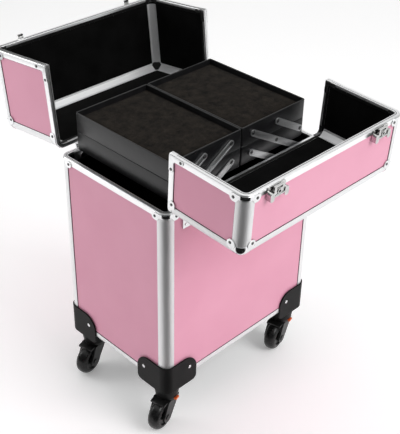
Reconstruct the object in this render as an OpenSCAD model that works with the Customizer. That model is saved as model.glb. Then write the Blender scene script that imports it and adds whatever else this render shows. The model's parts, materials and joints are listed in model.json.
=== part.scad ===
// Rolling makeup case: a hard case on four swivel casters, with a lid split lengthwise into two halves
// that open outwards, two columns of cantilever trays inside and a pull handle on one end.
// Origin on the floor under the middle of the base, +Z up, +X along the hinges, front at -Y.

/* [Case] */
// Length of the case along the hinges
case_w = 340; // [310:1:400]
// Depth of the case from front to rear
case_d = 240; // [225:1:300]
// Height of the base from its underside to its rim
base_h = 340; // [280:1:420]
// Height of the lid halves when they are shut
lid_h = 141; // [120:1:180]
// Depth of the front lid half
front_lid_d = 101; // [85:1:110]
// Angle that the front lid half stands open
front_open = 92.6; // [80:0.1:100]
// Angle that the rear lid half stands open
rear_open = 96.4; // [80:0.1:100]

/* [Walls] */
// Outer radius of the aluminium edge profiles
edge_r = 14; // [10:0.5:16]
// Width that an edge profile covers on each face
edge_cover = 18; // [17:0.5:24]
// Reach of the flat strip inside each corner
edge_inner = 15; // [12:0.5:17]
// Thickness of the aluminium lips round the panels
lip_t = 1.1; // [0.8:0.1:1.6]
// Thickness of the pink panels
panel_t = 5; // [4:0.1:6]
// Clearance of a panel in its slot, each side
panel_fit = 0.1; // [0.05:0.05:0.2]
// Height of the rim rails
rail_h = 10; // [8:0.5:14]
// Thickness of the closed side of a rim rail
rail_top = 1.4; // [1:0.1:2]
// Thickness of the black lining sheets
liner_t = 1; // [0.6:0.1:1.1]
// Gap between the rims when a lid half is shut
lid_gap = 0.5; // [0.3:0.1:1]
// Gap between the two lid halves when they are shut
split_gap = 1; // [0.6:0.1:2]

/* [Corner fittings] */
// Thickness of the chrome corner brackets
plate_t = 0.8; // [0.6:0.1:1.2]
// Reach of a corner bracket along each face
bracket_l = 28; // [24:0.5:30]
// Height of a corner bracket
bracket_h = 14; // [12:0.5:18]
// Distance of a corner bracket below its rim
bracket_drop = 2; // [1:0.5:4]
// Radius of a rivet head
rivet_r = 2.2; // [1.6:0.1:2.8]
// Height of a rivet head
rivet_h = 1; // [0.6:0.1:1.4]

/* [Lid hinges] */
// Distance of a hinge's middle from the end of the case
hinge_in = 48; // [46:1:70]
// Width of a hinge
hinge_w = 28; // [24:1:32]
// Height of a hinge leaf on a lid half
leaf_h = 20; // [16:1:26]
// Height of a hinge leaf on the base
base_leaf_h = 35; // [20:1:40]
// Thickness of a hinge leaf
leaf_t = 1.2; // [1:0.1:1.5]
// Distance of the hinge pin outside the case
hinge_out = 4.2; // [4:0.1:6]
// Height of the hinge pin above the base's rim
hinge_up = 1.2; // [0.8:0.1:2]
// Radius of a hinge knuckle
knuckle_r = 3.2; // [2.6:0.1:3.4]
// Radius of a hinge pin
hinge_pin_r = 1.5; // [1:0.1:1.8]
// Running clearance of pins in their holes
pin_fit = 0.05; // [0.02:0.01:0.08]

/* [Latches and carry handle] */
// Distance of a latch's middle from the end of the case
latch_in = 57; // [45:1:80]
// Width of a latch
latch_w = 36; // [34:1:40]
// Length of a latch plate
latch_l = 22; // [21:1:30]
// Distance between the carry handle's pivots
handle_w = 120; // [100:1:150]
// Distance from the carry handle's pivots to its grip
handle_reach = 34; // [28:1:44]
// Radius of the carry handle's grip
grip_r = 7; // [5:0.5:8]

/* [Trays] */
// Height of a tray
tray_h = 32; // [24:0.5:36]
// Gap between the upper and the lower tray
tray_gap = 0.5; // [0.4:0.1:2]
// Height of the lower trays above the base's rim
tray_lift = 6.5; // [4:0.5:12]
// Gap between the tray stack and the end walls
tray_end_gap = 16.6; // [12:0.2:24]
// Gap between the tray stack and the front and rear walls
tray_side_gap = 7.6; // [7.4:0.1:12]
// Gap between the two columns of trays
tray_mid_gap = 1; // [0.6:0.1:3]
// Thickness of the trays' walls and floors
tray_t = 2.2; // [1.6:0.1:3]
// Depth of the space above the mats of the upper trays
mat_drop = 7; // [5:0.5:12]
// Clearance round a mat
mat_fit = 0.8; // [0.5:0.1:1.5]

/* [Tray arms] */
// Sideways reach of an arm from one pivot to the next
arm_reach = 56; // [48:1:58]
// Width of an arm
arm_w = 11; // [9:0.5:13]
// Thickness of an arm
arm_t = 2; // [1.6:0.1:2.4]
// Gap between an arm and the tray's side
arm_gap = 0.5; // [0.3:0.1:0.8]
// Radius of an arm's pivot
pivot_r = 2.5; // [2:0.1:3]
// Height of the pivots above a tray's underside
pivot_h = 17; // [14:0.5:18]
// Distance from a tray's outer end to its first pivot
pivot_in = 10; // [8:0.5:14]
// Distance between the two pivots on the base
pivot_span = 58; // [54:1:64]
// Thickness of the plates that carry the arms
arm_plate_t = 2; // [1.6:0.1:2.4]
// Height of the plates that carry the arms
arm_plate_h = 16; // [14:0.5:20]

/* [Casters] */
// Height of the base's underside above the floor
caster_h = 95; // [85:1:100]
// Distance of a caster's swivel from each face of the case
caster_inset = 26; // [24:0.5:32]
// Distance of a wheel's axle from the swivel
trail = 20; // [16:0.5:24]
// Direction that the wheels trail in, turned from +X
caster_yaw = 193; // [0:1:359]
// Radius of a wheel
wheel_r = 27; // [22:0.5:28]
// Width of a wheel
wheel_w = 22; // [20:0.5:28]
// Thickness of a fork's legs
leg_t = 4; // [3:0.5:5]
// Radius of an axle
axle_r = 3; // [2.5:0.1:4]
// Radius of a swivel stem
stem_r = 5; // [4:0.1:6]
// Height of a fork's crown
crown_h = 5; // [4:0.5:6]

/* [Corner guards] */
// Thickness of a corner guard
guard_t = 2.5; // [2:0.1:4]
// Reach of a guard along each face
guard_l = 66; // [54:1:70]
// Height of a guard above the base's underside
guard_h = 46; // [40:1:60]
// Depth of a guard below the base's underside
guard_drop = 8; // [6:0.5:10]
// Radius of the swivel boss under a guard
boss_r = 23; // [21:0.5:24]

/* [Pull handle] */
// Distance of the tubes from the middle of the end wall
tube_y = 45; // [38:1:60]
// Distance of the tubes outside the case
tube_out = 14; // [12:0.5:18]
// Outer radius of the fixed tubes
tube_r = 9; // [8:0.1:10]
// Wall of the tubes
tube_wall = 0.9; // [0.7:0.1:1.2]
// Distance of the grip's top below the rim
grip_drop = 30; // [26:1:60]
// Height of the grip
grip_h = 26; // [22:1:32]
// Travel of the release button
button_travel = 3; // [2:0.5:4]

/* [Hidden] */
$fn = 48;
far = 600;
z_base = caster_h;
z_rim = caster_h + base_h;
z_mate = z_rim + lid_gap;
rear_lid_d = case_d - front_lid_d - split_gap;
slot_w = panel_t + 2 * panel_fit;
wall_t = 2 * lip_t + slot_w;
panel_in = lip_t + panel_fit;
liner_in = panel_in + panel_t;
liner_gap = 0.2;
liner_edge = edge_cover + liner_gap;
liner_rail = rail_h + liner_gap;
neck_h = 6;
rivet_in = 6;
angle_leg = 9;
angle_inset = 0.5;
ball_ear_at = edge_cover + 1;
ball_ear_r = 8;
ball_rivet_at = edge_cover + 3;

hinge_x = case_w / 2 - hinge_in;
hinge_y = case_d / 2 + hinge_out;
hinge_z = z_rim + hinge_up;
knuckle_gap = 0.25;
pin_bore = hinge_pin_r + pin_fit;
knuckle_floor = -knuckle_r - knuckle_gap;
web_t = 1.6;
web_z = -knuckle_r + 0.3;
web_start = knuckle_r / 2;
leaf_rivet_in = 6;
leaf_rivet_x = hinge_w / 2 - leaf_rivet_in;
leaf_rivet_z = web_z - base_leaf_h + leaf_rivet_in;

tray_l = (case_w - 2 * wall_t - 2 * tray_end_gap - tray_mid_gap) / 2;
tray_d = case_d - 2 * wall_t - 2 * tray_side_gap;
tray_pitch = tray_h + tray_gap;
low_z = z_rim + tray_lift;
top_z = low_z + tray_pitch;
arm_rise = tray_pitch;
arm_len = norm([arm_reach, arm_rise]);
arm_tilt = atan2(arm_rise, -arm_reach);
arm_y = tray_d / 2 + arm_gap;
base_pivot_x = tray_mid_gap / 2 + tray_l - pivot_in;
base_pivot_z = low_z + pivot_h - arm_rise;
low_long_x = base_pivot_x - arm_reach;
low_short_x = low_long_x - pivot_span;
top_long_x = low_long_x - arm_reach;
top_short_x = base_pivot_x - arm_reach;
plate_y = case_d / 2 - wall_t - arm_plate_t;
arm_plate_side = 12;
stub_in = 0.3;
tray_corner_r = 3;
tray_corner_in = 1.5;
pivot_head_r = 4.2;
pivot_head_h = 1.2;
shoulder_gap = 0.2;

swivel_gap = 0.6;
crown_gap = 1.4;
crown_top = 2 * wheel_r + crown_gap + crown_h;
crown_r = 18;
boss_h = z_base - guard_drop - crown_top - swivel_gap;
socket_h = 18;
leg_gap = 0.8;
leg_y = wheel_w / 2 + leg_gap + leg_t / 2;
leg_end_r = 10;
axle_head_h = 1.2;
axle_head_r = axle_r + 2;
hood_t = 3;
hood_reach = 8;
hub_r = axle_r + 5;
hub_dish = 3;
boss_taper = 4;
ear_r = 26;
foot_w = 24;
ear_low_r = 9;
guard_rivet_in = 16;
guard_rivet_l = guard_l - guard_rivet_in;
guard_rivet_z = 26;

tube_x = case_w / 2 + tube_out;
tube_fit = 0.05;
end_face = case_w / 2 - panel_in;
grip_top = z_rim - grip_drop;
grip_deep = 22;
grip_side = 5;
grip_gap = 4;
tube_top = grip_top - grip_h - grip_gap;
foot_gap = 2;
foot_low = z_base + guard_h + foot_gap;
foot_floor = 4;
foot_h = 24;
tube_foot = foot_low + foot_floor;
stage_step = 2;
bracket_deep = 30;
mount_side = 7;
mount_front = 4;
mount_y = tube_y + tube_r + mount_side;
mount_x = tube_x + tube_r + mount_front;
button_w = 30;
button_d = 10;
button_h = 9;
button_fit = 0.3;

latch_x = case_w / 2 - latch_in;
latch_plate_t = 1.6;
latch_edge = 1.5;
latch_r = 4;
cheek_t = 8;
cheek_gap = 0.2;
cheek_l = 14;
cheek_h = 8;
cheek_r = 3.8;
latch_pin_r = 1.5;
latch_pin_v = front_lid_d - latch_l + cheek_l / 2;
latch_pin_up = 5.2;
latch_pin_w = lid_h + latch_pin_up;
barrel_r = 2.8;
keyhole_r = 4;
keyhole_h = 1;
key_bore_r = 2.2;
key_bore_deep = 2;
tongue_w = 10;
tongue_t = 1.2;
tongue_gap = 0.4;
tongue_low = latch_plate_t + tongue_gap;
tongue_reach = 6;
tongue_end = front_lid_d + split_gap - tongue_reach;
tongue_lip = 1.4;
tongue_lip_h = 1.6;
window_gap = 0.8;
lever_t = 3;
lever_w = latch_w - 2 * cheek_t - 2 * cheek_gap;
lever_low = lid_h + tongue_low + tongue_t + tongue_gap;
lever_bar = 1.8;
lever_r = 2;
lever_end = tongue_end + tongue_lip + window_gap + lever_bar;
catch_l = 12;
catch_t = 1.2;
riser_l = 4.5;

handle_foot = 26;
handle_foot_x = 20;
handle_foot_t = 1.6;
handle_ear_t = 3;
handle_ear_r = 6;
handle_ear_gap = 0.4;
handle_edge = 3;
handle_v = rear_lid_d - rail_h - handle_edge - handle_foot / 2;
handle_top = lid_h - panel_in;
handle_gap = 0.6;
handle_z = handle_top + grip_r + handle_gap;
handle_arm = 8;
handle_pin_r = 2.5;
handle_pin_in = 1;
handle_pin_out = 0.6;
handle_hang = max(0, rear_open - 90);

brake_w = 9;
brake_t = 2.4;
brake_in = 10.5;
brake_out = 21.5;
brake_gap = 0.5;
brake_drop = 1.6;
brake_z = crown_top - crown_h / 2 - brake_t / 2;
brake_lip = 1;
brake_pin_r = 0.8;
brake_pin_y = brake_in + brake_t / 2;
brake_pin_z = brake_z + brake_t / 2;
brake_pin_l = brake_w + 2 * brake_gap + 3;

pink = [0.93, 0.66, 0.76];
silver = [0.86, 0.87, 0.87];
chrome = [0.78, 0.79, 0.8];
black = [0.1, 0.1, 0.1];

// Shared outlines

// Rectangle with round corners, centred
module round_rect(w, d, r) {
    square([w - 2 * r, d], center = true);
    square([w, d - 2 * r], center = true);
    for (x = [-1, 1], y = [-1, 1])
        translate([x * (w / 2 - r), y * (d / 2 - r)]) circle(r);
}

// Band between two insets from the case's outline
module ring(w, d, outer, inner) {
    difference() {
        round_rect(w - 2 * outer, d - 2 * outer, edge_r - outer);
        round_rect(w - 2 * inner, d - 2 * inner, edge_r - inner);
    }
}

// One corner of the case's outline, grown by off, with its sides running away along +X and +Y
module round_quadrant(off) {
    translate([edge_r, edge_r]) circle(edge_r + off);
    translate([edge_r, -off]) square(far);
    translate([-off, edge_r]) square(far);
}

// Strip of thickness t that wraps a corner and runs l along each face
module corner_band(l, t) {
    difference() {
        intersection() {
            round_quadrant(t);
            translate([-t, -t]) square(l + t);
        }
        round_quadrant(0);
    }
}

// Cross-section of an aluminium edge profile: a round outside, a slot for each panel and a flat inside
module edge_section() {
    difference() {
        intersection() {
            round_quadrant(0);
            square(edge_cover);
        }
        translate([lip_t, edge_r]) square([slot_w, far]);
        translate([edge_r, lip_t]) square([far, slot_w]);
        polygon([
            [wall_t, edge_inner], [edge_inner, wall_t], [far, wall_t], [far, far], [wall_t, far]
        ]);
    }
}

module edge_profile(len) {
    linear_extrude(len) edge_section();
}

// Ball-cornered block that closes the place where three edge profiles meet
module corner_core() {
    difference() {
        intersection() {
            cube(edge_cover);
            union() {
                translate([edge_r, edge_r, edge_r]) sphere(edge_r);
                translate([edge_r, edge_r, edge_r]) cylinder(h = far, r = edge_r);
                translate([edge_r, edge_r, edge_r]) rotate([0, 90, 0]) cylinder(h = far, r = edge_r);
                translate([edge_r, edge_r, edge_r]) rotate([-90, 0, 0]) cylinder(h = far, r = edge_r);
                translate([0, edge_r, edge_r]) cube(far);
                translate([edge_r, 0, edge_r]) cube(far);
                translate([edge_r, edge_r, 0]) cube(far);
            }
        }
        translate([wall_t, wall_t, wall_t]) cube(far);
        translate([lip_t, edge_r, edge_r]) cube([slot_w, far, far]);
        translate([edge_r, lip_t, edge_r]) cube([far, slot_w, far]);
        translate([edge_r, edge_r, lip_t]) cube([far, far, slot_w]);
    }
}

// Chrome bracket round a corner just below a rim: a neck over the round edge, between two ears
module rim_bracket() {
    difference() {
        translate([0, 0, -bracket_drop - bracket_h]) linear_extrude(bracket_h) corner_band(bracket_l, plate_t);
        translate([-far + edge_r, -far + edge_r, -bracket_drop - neck_h - far]) cube(far);
    }
}

module rivet_head() {
    cylinder(h = rivet_h, r1 = rivet_r, r2 = rivet_r * 0.7);
}

// The two rivets of a rim bracket
module rim_bracket_rivets() {
    at = bracket_l - rivet_in;
    up = -bracket_drop - bracket_h / 2;
    translate([at, -plate_t, up]) rotate([90, 0, 0]) rivet_head();
    translate([-plate_t, at, up]) rotate([0, -90, 0]) rivet_head();
}

// The four corners of the base, each seen from its own outer corner
module base_corners(z) {
    for (x = [0, 1], y = [0, 1])
        mirror([x, 0, 0]) mirror([0, y, 0]) translate([-case_w / 2, -case_d / 2, z]) children();
}

module both_ends() {
    children();
    mirror([1, 0, 0]) children();
}

module both_sides() {
    children();
    mirror([0, 1, 0]) children();
}

// Base

module wall_panel_y(side) {
    w = case_w - 2 * edge_r - 2 * panel_fit;
    h = base_h - edge_r - rail_top - 2 * panel_fit;
    y = side * (case_d / 2 - panel_in - panel_t / 2);
    translate([-w / 2, y - panel_t / 2, z_base + edge_r + panel_fit]) cube([w, panel_t, h]);
}

module wall_panel_x(side) {
    d = case_d - 2 * edge_r - 2 * panel_fit;
    h = base_h - edge_r - rail_top - 2 * panel_fit;
    x = side * (case_w / 2 - panel_in - panel_t / 2);
    translate([x - panel_t / 2, -d / 2, z_base + edge_r + panel_fit]) cube([panel_t, d, h]);
}

module base_front_panel() {
    color(pink) wall_panel_y(-1);
}

module base_rear_panel() {
    color(pink) wall_panel_y(1);
}

module base_left_panel() {
    color(pink) wall_panel_x(-1);
}

module base_right_panel() {
    color(pink) wall_panel_x(1);
}

module base_bottom_panel() {
    w = case_w - 2 * edge_r - 2 * panel_fit;
    d = case_d - 2 * edge_r - 2 * panel_fit;
    color(black) translate([-w / 2, -d / 2, z_base + panel_in]) cube([w, d, panel_t]);
}

// Four upright corner posts and the four edges of the floor
module base_edge_profiles() {
    w = case_w - 2 * edge_cover;
    d = case_d - 2 * edge_cover;
    color(silver) {
        base_corners(z_base + edge_cover) edge_profile(base_h - edge_cover - rail_h);
        both_sides() translate([-w / 2, -case_d / 2, z_base]) rotate([90, 0, 90]) edge_profile(w);
        both_ends() translate([-case_w / 2, d / 2, z_base]) rotate([90, 0, 0]) edge_profile(d);
    }
}

module base_rim_rail() {
    color(silver) translate([0, 0, z_rim - rail_h]) difference() {
        linear_extrude(rail_h) ring(case_w, case_d, 0, wall_t);
        translate([0, 0, -1]) linear_extrude(rail_h - rail_top + 1) ring(case_w, case_d, lip_t, lip_t + slot_w);
    }
}

module base_corner_brackets() {
    color(chrome) base_corners(z_rim) rim_bracket();
}

module base_rivets() {
    color(chrome) {
        base_corners(z_rim) rim_bracket_rivets();
        base_corners(z_base) {
            translate([guard_rivet_l, -guard_t, guard_rivet_z]) rotate([90, 0, 0]) rivet_head();
            translate([-guard_t, guard_rivet_l, guard_rivet_z]) rotate([0, -90, 0]) rivet_head();
        }
        hinges() for (s = [-1, 1])
            translate([s * leaf_rivet_x, hinge_out - leaf_t, leaf_rivet_z]) rotate([90, 0, 0]) rivet_head();
    }
}

// Five black sheets on the inner faces of the panels
module base_lining() {
    w = case_w - 2 * liner_edge;
    d = case_d - 2 * liner_edge;
    h = base_h - liner_edge - liner_rail;
    color(black) {
        both_sides() translate([-w / 2, -case_d / 2 + liner_in, z_base + liner_edge]) cube([w, liner_t, h]);
        both_ends() translate([-case_w / 2 + liner_in, -d / 2, z_base + liner_edge]) cube([liner_t, d, h]);
        translate([-w / 2, -d / 2, z_base + liner_in]) cube([w, d, liner_t]);
    }
}

// Corner guards and casters

module guard_ear_cut() {
    translate([guard_l - ear_r, 0, guard_h - ear_r]) rotate([90, 0, 0]) linear_extrude(guard_t + 1)
        difference() {
            square(ear_r + 1);
            circle(ear_r);
        }
    translate([guard_l - ear_low_r, 0, ear_low_r - guard_drop]) rotate([90, 0, 0]) linear_extrude(guard_t + 1)
        difference() {
            translate([0, -ear_low_r - 1]) square(ear_low_r + 1);
            circle(ear_low_r);
        }
}

module guard_foot() {
    foot_l = guard_l - ear_low_r;
    intersection() {
        round_quadrant(guard_t);
        union() {
            translate([-guard_t, -guard_t]) square([foot_l + guard_t, foot_w + guard_t]);
            translate([-guard_t, -guard_t]) square([foot_w + guard_t, foot_l + guard_t]);
            translate([caster_inset, caster_inset]) circle(boss_r);
        }
    }
}

module corner_guard() {
    difference() {
        union() {
            translate([0, 0, -guard_drop]) linear_extrude(guard_h + guard_drop) corner_band(guard_l, guard_t);
            translate([0, 0, -guard_drop]) linear_extrude(guard_drop) guard_foot();
            translate([caster_inset, caster_inset, -guard_drop - boss_h])
                cylinder(h = boss_h, r1 = boss_r - boss_taper, r2 = boss_r);
            corner_core();
        }
        guard_ear_cut();
        mirror([1, -1, 0]) guard_ear_cut();
        translate([caster_inset, caster_inset, -guard_drop - boss_h - 1])
            cylinder(h = socket_h + 1, r = stem_r + pin_fit);
    }
}

module caster_corner_guards() {
    color(black) base_corners(z_base) corner_guard();
}

// A caster at one corner: x and y are -1 or 1
module caster_at(x, y) {
    translate([x * (case_w / 2 - caster_inset), y * (case_d / 2 - caster_inset), 0])
        rotate(caster_yaw) children();
}

module fork_leg() {
    top = crown_top - crown_h + 1;
    union() {
        translate([trail, wheel_r]) circle(leg_end_r);
        polygon([
            [-crown_r * 0.75, top], [crown_r * 0.9, top],
            [trail + leg_end_r * 0.95, wheel_r + leg_end_r * 0.3],
            [trail - leg_end_r * 0.8, wheel_r - leg_end_r * 0.6]
        ]);
    }
}

// Curved cover over the top of a wheel
module fork_hood() {
    inner = wheel_r + leg_gap;
    width = 2 * leg_y;
    intersection() {
        translate([trail, 0, wheel_r]) rotate([90, 0, 0]) difference() {
            cylinder(h = width, r = inner + hood_t, center = true);
            cylinder(h = far, r = inner, center = true);
        }
        translate([-crown_r, -far / 2, wheel_r + wheel_r * 0.55]) cube([crown_r + trail + hood_reach, far, far]);
    }
}

// Pin across a brake lever's inner end
module brake_pin(r) {
    translate([0, brake_pin_y, brake_pin_z]) rotate([0, 90, 0]) cylinder(h = brake_pin_l, r = r, center = true);
}

// Slot in a fork's crown for a brake lever, and the bore for its pin
module brake_slot() {
    translate([-brake_w / 2 - brake_gap, brake_in - brake_gap, brake_z - brake_drop])
        cube([brake_w + 2 * brake_gap, far, far]);
    brake_pin(brake_pin_r + pin_fit);
}

// Swivel fork with its stem, and the axle as a second solid
module caster_fork(braked) {
    difference() {
        union() {
            translate([0, 0, crown_top - crown_h]) cylinder(h = crown_h, r = crown_r);
            translate([0, 0, crown_top - 1]) cylinder(h = swivel_gap + socket_h, r = stem_r);
            for (s = [-1, 1])
                translate([0, s * leg_y, 0]) rotate([90, 0, 0]) linear_extrude(leg_t, center = true) fork_leg();
            fork_hood();
        }
        translate([trail, 0, wheel_r]) rotate([90, 0, 0]) cylinder(h = far, r = axle_r + pin_fit, center = true);
        if (braked) brake_slot();
    }
    axle_l = 2 * leg_y + leg_t + 2 * pin_fit;
    translate([trail, 0, wheel_r]) rotate([90, 0, 0]) {
        cylinder(h = axle_l, r = axle_r, center = true);
        for (s = [-1, 1])
            translate([0, 0, s * (axle_l + axle_head_h) / 2])
                cylinder(h = axle_head_h, r = axle_head_r, center = true);
    }
}

module caster_fork_front_left() {
    color(black) caster_at(-1, -1) caster_fork(true);
}

module caster_fork_front_right() {
    color(black) caster_at(1, -1) caster_fork(true);
}

module caster_fork_rear_left() {
    color(black) caster_at(-1, 1) caster_fork(false);
}

module caster_fork_rear_right() {
    color(black) caster_at(1, 1) caster_fork(false);
}

// Wheel with a round tread and a dished hub
module caster_wheel() {
    shoulder = wheel_w * 0.36;
    half = wheel_w / 2;
    translate([trail, 0, wheel_r]) rotate([90, 0, 0]) difference() {
        rotate_extrude() union() {
            translate([axle_r + pin_fit, -half]) square([wheel_r - shoulder - axle_r - pin_fit, wheel_w]);
            translate([wheel_r - shoulder, -half + shoulder]) square([shoulder, wheel_w - 2 * shoulder]);
            for (s = [-1, 1])
                intersection() {
                    translate([wheel_r - shoulder, s * (half - shoulder)]) circle(shoulder);
                    translate([wheel_r - shoulder, -half]) square([shoulder, wheel_w]);
                }
        }
        for (s = [-1, 1])
            translate([0, 0, s * half]) difference() {
                cylinder(h = 2 * hub_dish, r = wheel_r * 0.62, center = true);
                cylinder(h = far, r = hub_r, center = true);
            }
    }
}

module caster_wheel_front_left() {
    color(black) caster_at(-1, -1) caster_wheel();
}

module caster_wheel_front_right() {
    color(black) caster_at(1, -1) caster_wheel();
}

module caster_wheel_rear_left() {
    color(black) caster_at(-1, 1) caster_wheel();
}

module caster_wheel_rear_right() {
    color(black) caster_at(1, 1) caster_wheel();
}

// Tab with a round inner end on a pin, and a lip at its outer end
module brake_lever() {
    union() {
        brake_pin(brake_pin_r);
        translate([0, brake_pin_y, brake_pin_z]) rotate([0, 90, 0])
            cylinder(h = brake_w, r = brake_t / 2, center = true);
        translate([-brake_w / 2, brake_pin_y, brake_z]) cube([brake_w, brake_out - brake_pin_y, brake_t]);
        translate([-brake_w / 2, brake_out - brake_t, brake_z]) cube([brake_w, brake_t, brake_t + brake_lip]);
    }
}

module brake_lever_front_left() {
    color("orangered") caster_at(-1, -1) brake_lever();
}

module brake_lever_front_right() {
    color("orangered") caster_at(1, -1) brake_lever();
}

// Lid hinges

// The four hinges, two along the front and two along the rear
module hinges() {
    for (x = [-1, 1])
        both_sides() translate([x * hinge_x, -hinge_y, hinge_z]) children();
}

// Leaf below the pin: a plate of height h on the wall, and a web out to the knuckle
module leaf_below(w, h) {
    difference() {
        union() {
            translate([-w / 2, hinge_out - leaf_t, web_z - h]) cube([w, leaf_t, h + web_t]);
            translate([-w / 2, web_start, web_z]) cube([w, hinge_out - web_start, web_t]);
            rotate([0, 90, 0]) cylinder(h = w, r = knuckle_r, center = true);
        }
        rotate([0, 90, 0]) cylinder(h = far, r = pin_bore, center = true);
    }
}

// Outer two thirds of each hinge, fixed to the base
module hinge_base_leaves() {
    step = hinge_w / 3;
    color(chrome) hinges() difference() {
        leaf_below(hinge_w, base_leaf_h);
        translate([-step / 2 - knuckle_gap, -far / 2, knuckle_floor])
            cube([step + 2 * knuckle_gap, far, far]);
    }
}

module hinge_pins() {
    color(chrome) hinges() rotate([0, 90, 0]) cylinder(h = hinge_w, r = hinge_pin_r, center = true);
}

// Lid halves, each drawn shut with its hinge side at Y = 0 and its rim at Z = 0, then swung open

module front_lid_place() {
    translate([0, -hinge_y, hinge_z]) rotate([front_open, 0, 0])
        translate([0, hinge_out, z_mate - hinge_z]) children();
}

module rear_lid_place() {
    mirror([0, 1, 0]) translate([0, -hinge_y, hinge_z]) rotate([rear_open, 0, 0])
        translate([0, hinge_out, z_mate - hinge_z]) children();
}

module lid_panels(depth) {
    w = case_w - 2 * edge_r - 2 * panel_fit;
    d = depth - edge_r - rail_top - 2 * panel_fit;
    h = lid_h - edge_r - rail_top - 2 * panel_fit;
    low = rail_top + panel_fit;
    near = edge_r + panel_fit;
    color(pink) {
        translate([-w / 2, panel_in, low]) cube([w, panel_t, h]);
        translate([-w / 2, near, lid_h - panel_in - panel_t]) cube([w, d, panel_t]);
        both_ends() translate([-case_w / 2 + panel_in, near, low]) cube([panel_t, d, h]);
    }
}

module lid_edge_profiles(depth) {
    w = case_w - 2 * edge_cover;
    d = depth - rail_h - edge_cover;
    color(silver) {
        both_ends() translate([-case_w / 2, 0, rail_h]) edge_profile(lid_h - rail_h - edge_cover);
        translate([0, 0, lid_h]) mirror([0, 0, 1]) {
            translate([-w / 2, 0, 0]) rotate([90, 0, 90]) edge_profile(w);
            both_ends() translate([-case_w / 2, depth - rail_h, 0]) rotate([90, 0, 0]) edge_profile(d);
        }
    }
}

// Half of a ring, cut off at mid height, as the outline of a rim rail with two legs
module rail_outline(reach, outer, inner, start) {
    intersection() {
        ring(case_w, 2 * reach, outer, inner);
        translate([-case_w, start]) square([2 * case_w, far]);
    }
}

// The rail that meets the base and the rail that meets the other lid half
module lid_rails(depth) {
    color(silver) {
        translate([0, depth, 0]) mirror([0, 1, 0]) difference() {
            linear_extrude(rail_h) rail_outline(depth, 0, wall_t, 0);
            translate([0, 0, rail_top]) linear_extrude(rail_h) rail_outline(depth, lip_t, lip_t + slot_w, -1);
        }
        translate([0, depth, 0]) rotate([90, 0, 0]) difference() {
            linear_extrude(rail_h) rail_outline(lid_h, 0, wall_t, rail_h);
            translate([0, 0, rail_top]) linear_extrude(rail_h) rail_outline(lid_h, lip_t, lip_t + slot_w, 0);
        }
    }
}

// Flat angle bracket on the end wall where the two rails meet
module end_bracket(depth) {
    translate([-case_w / 2 - plate_t, 0, 0]) union() {
        translate([0, depth - bracket_l, angle_inset]) cube([plate_t, bracket_l - angle_inset, angle_leg]);
        translate([0, depth - angle_leg - angle_inset, angle_inset]) cube([plate_t, angle_leg, bracket_l]);
    }
}

module end_bracket_rivets(depth) {
    mid = angle_inset + angle_leg / 2;
    along = bracket_l - mid;
    translate([-case_w / 2 - plate_t, depth - along, mid]) rotate([0, -90, 0]) rivet_head();
    translate([-case_w / 2 - plate_t, depth - mid, along]) rotate([0, -90, 0]) rivet_head();
}

// Ear plates of the ball corner, on the end wall and on the top
module ball_corner_ears() {
    at = ball_ear_at;
    translate([0, at, at]) rotate([0, -90, 0]) cylinder(h = plate_t, r = ball_ear_r);
    translate([at, at, 0]) mirror([0, 0, 1]) cylinder(h = plate_t, r = ball_ear_r);
}

module ball_corner_rivets() {
    at = ball_rivet_at;
    translate([-plate_t, at, at]) rotate([0, -90, 0]) rivet_head();
    translate([at, at, -plate_t]) mirror([0, 0, 1]) rivet_head();
}

// All chrome corner fittings of a lid half, with their rivets
module lid_corner_brackets(depth) {
    color(chrome) both_ends() {
        translate([-case_w / 2, 0, 0]) mirror([0, 0, 1]) {
            rim_bracket();
            rim_bracket_rivets();
        }
        translate([-case_w / 2, depth, lid_h]) rotate([-90, 0, 0]) {
            rim_bracket();
            rim_bracket_rivets();
        }
        translate([-case_w / 2, 0, lid_h]) mirror([0, 0, 1]) {
            union() {
                corner_core();
                ball_corner_ears();
            }
            ball_corner_rivets();
        }
        end_bracket(depth);
        end_bracket_rivets(depth);
    }
}

// Four black sheets on the inner faces of the lid panels
module lid_lining(depth) {
    w = case_w - 2 * liner_edge;
    d = depth - liner_edge - liner_rail;
    h = lid_h - liner_edge - liner_rail;
    color(black) {
        translate([-w / 2, liner_in, liner_rail]) cube([w, liner_t, h]);
        translate([-w / 2, liner_edge, lid_h - liner_in - liner_t]) cube([w, d, liner_t]);
        both_ends() translate([-case_w / 2 + liner_in, liner_edge, liner_rail]) cube([liner_t, d, h]);
    }
}

// Middle thirds of the hinges, fixed to a lid half
module lid_hinge_leaves() {
    w = hinge_w / 3 - knuckle_gap;
    color(chrome) for (x = [-1, 1])
        translate([x * hinge_x, -hinge_out, hinge_z - z_mate]) mirror([0, 0, 1]) leaf_below(w, leaf_h);
}

module front_lid_panels() {
    front_lid_place() lid_panels(front_lid_d);
}

module front_lid_edge_profiles() {
    front_lid_place() lid_edge_profiles(front_lid_d);
}

module front_lid_rails() {
    front_lid_place() lid_rails(front_lid_d);
}

module front_lid_corner_brackets() {
    front_lid_place() lid_corner_brackets(front_lid_d);
}

module front_lid_lining() {
    front_lid_place() lid_lining(front_lid_d);
}

module front_lid_hinge_leaves() {
    front_lid_place() lid_hinge_leaves();
}

module rear_lid_panels() {
    rear_lid_place() lid_panels(rear_lid_d);
}

module rear_lid_edge_profiles() {
    rear_lid_place() lid_edge_profiles(rear_lid_d);
}

module rear_lid_rails() {
    rear_lid_place() lid_rails(rear_lid_d);
}

module rear_lid_corner_brackets() {
    rear_lid_place() lid_corner_brackets(rear_lid_d);
}

module rear_lid_lining() {
    rear_lid_place() lid_lining(rear_lid_d);
}

module rear_lid_hinge_leaves() {
    rear_lid_place() lid_hinge_leaves();
}

// Latches on the front lid half's top, hooking over catches on the rear half

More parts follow.
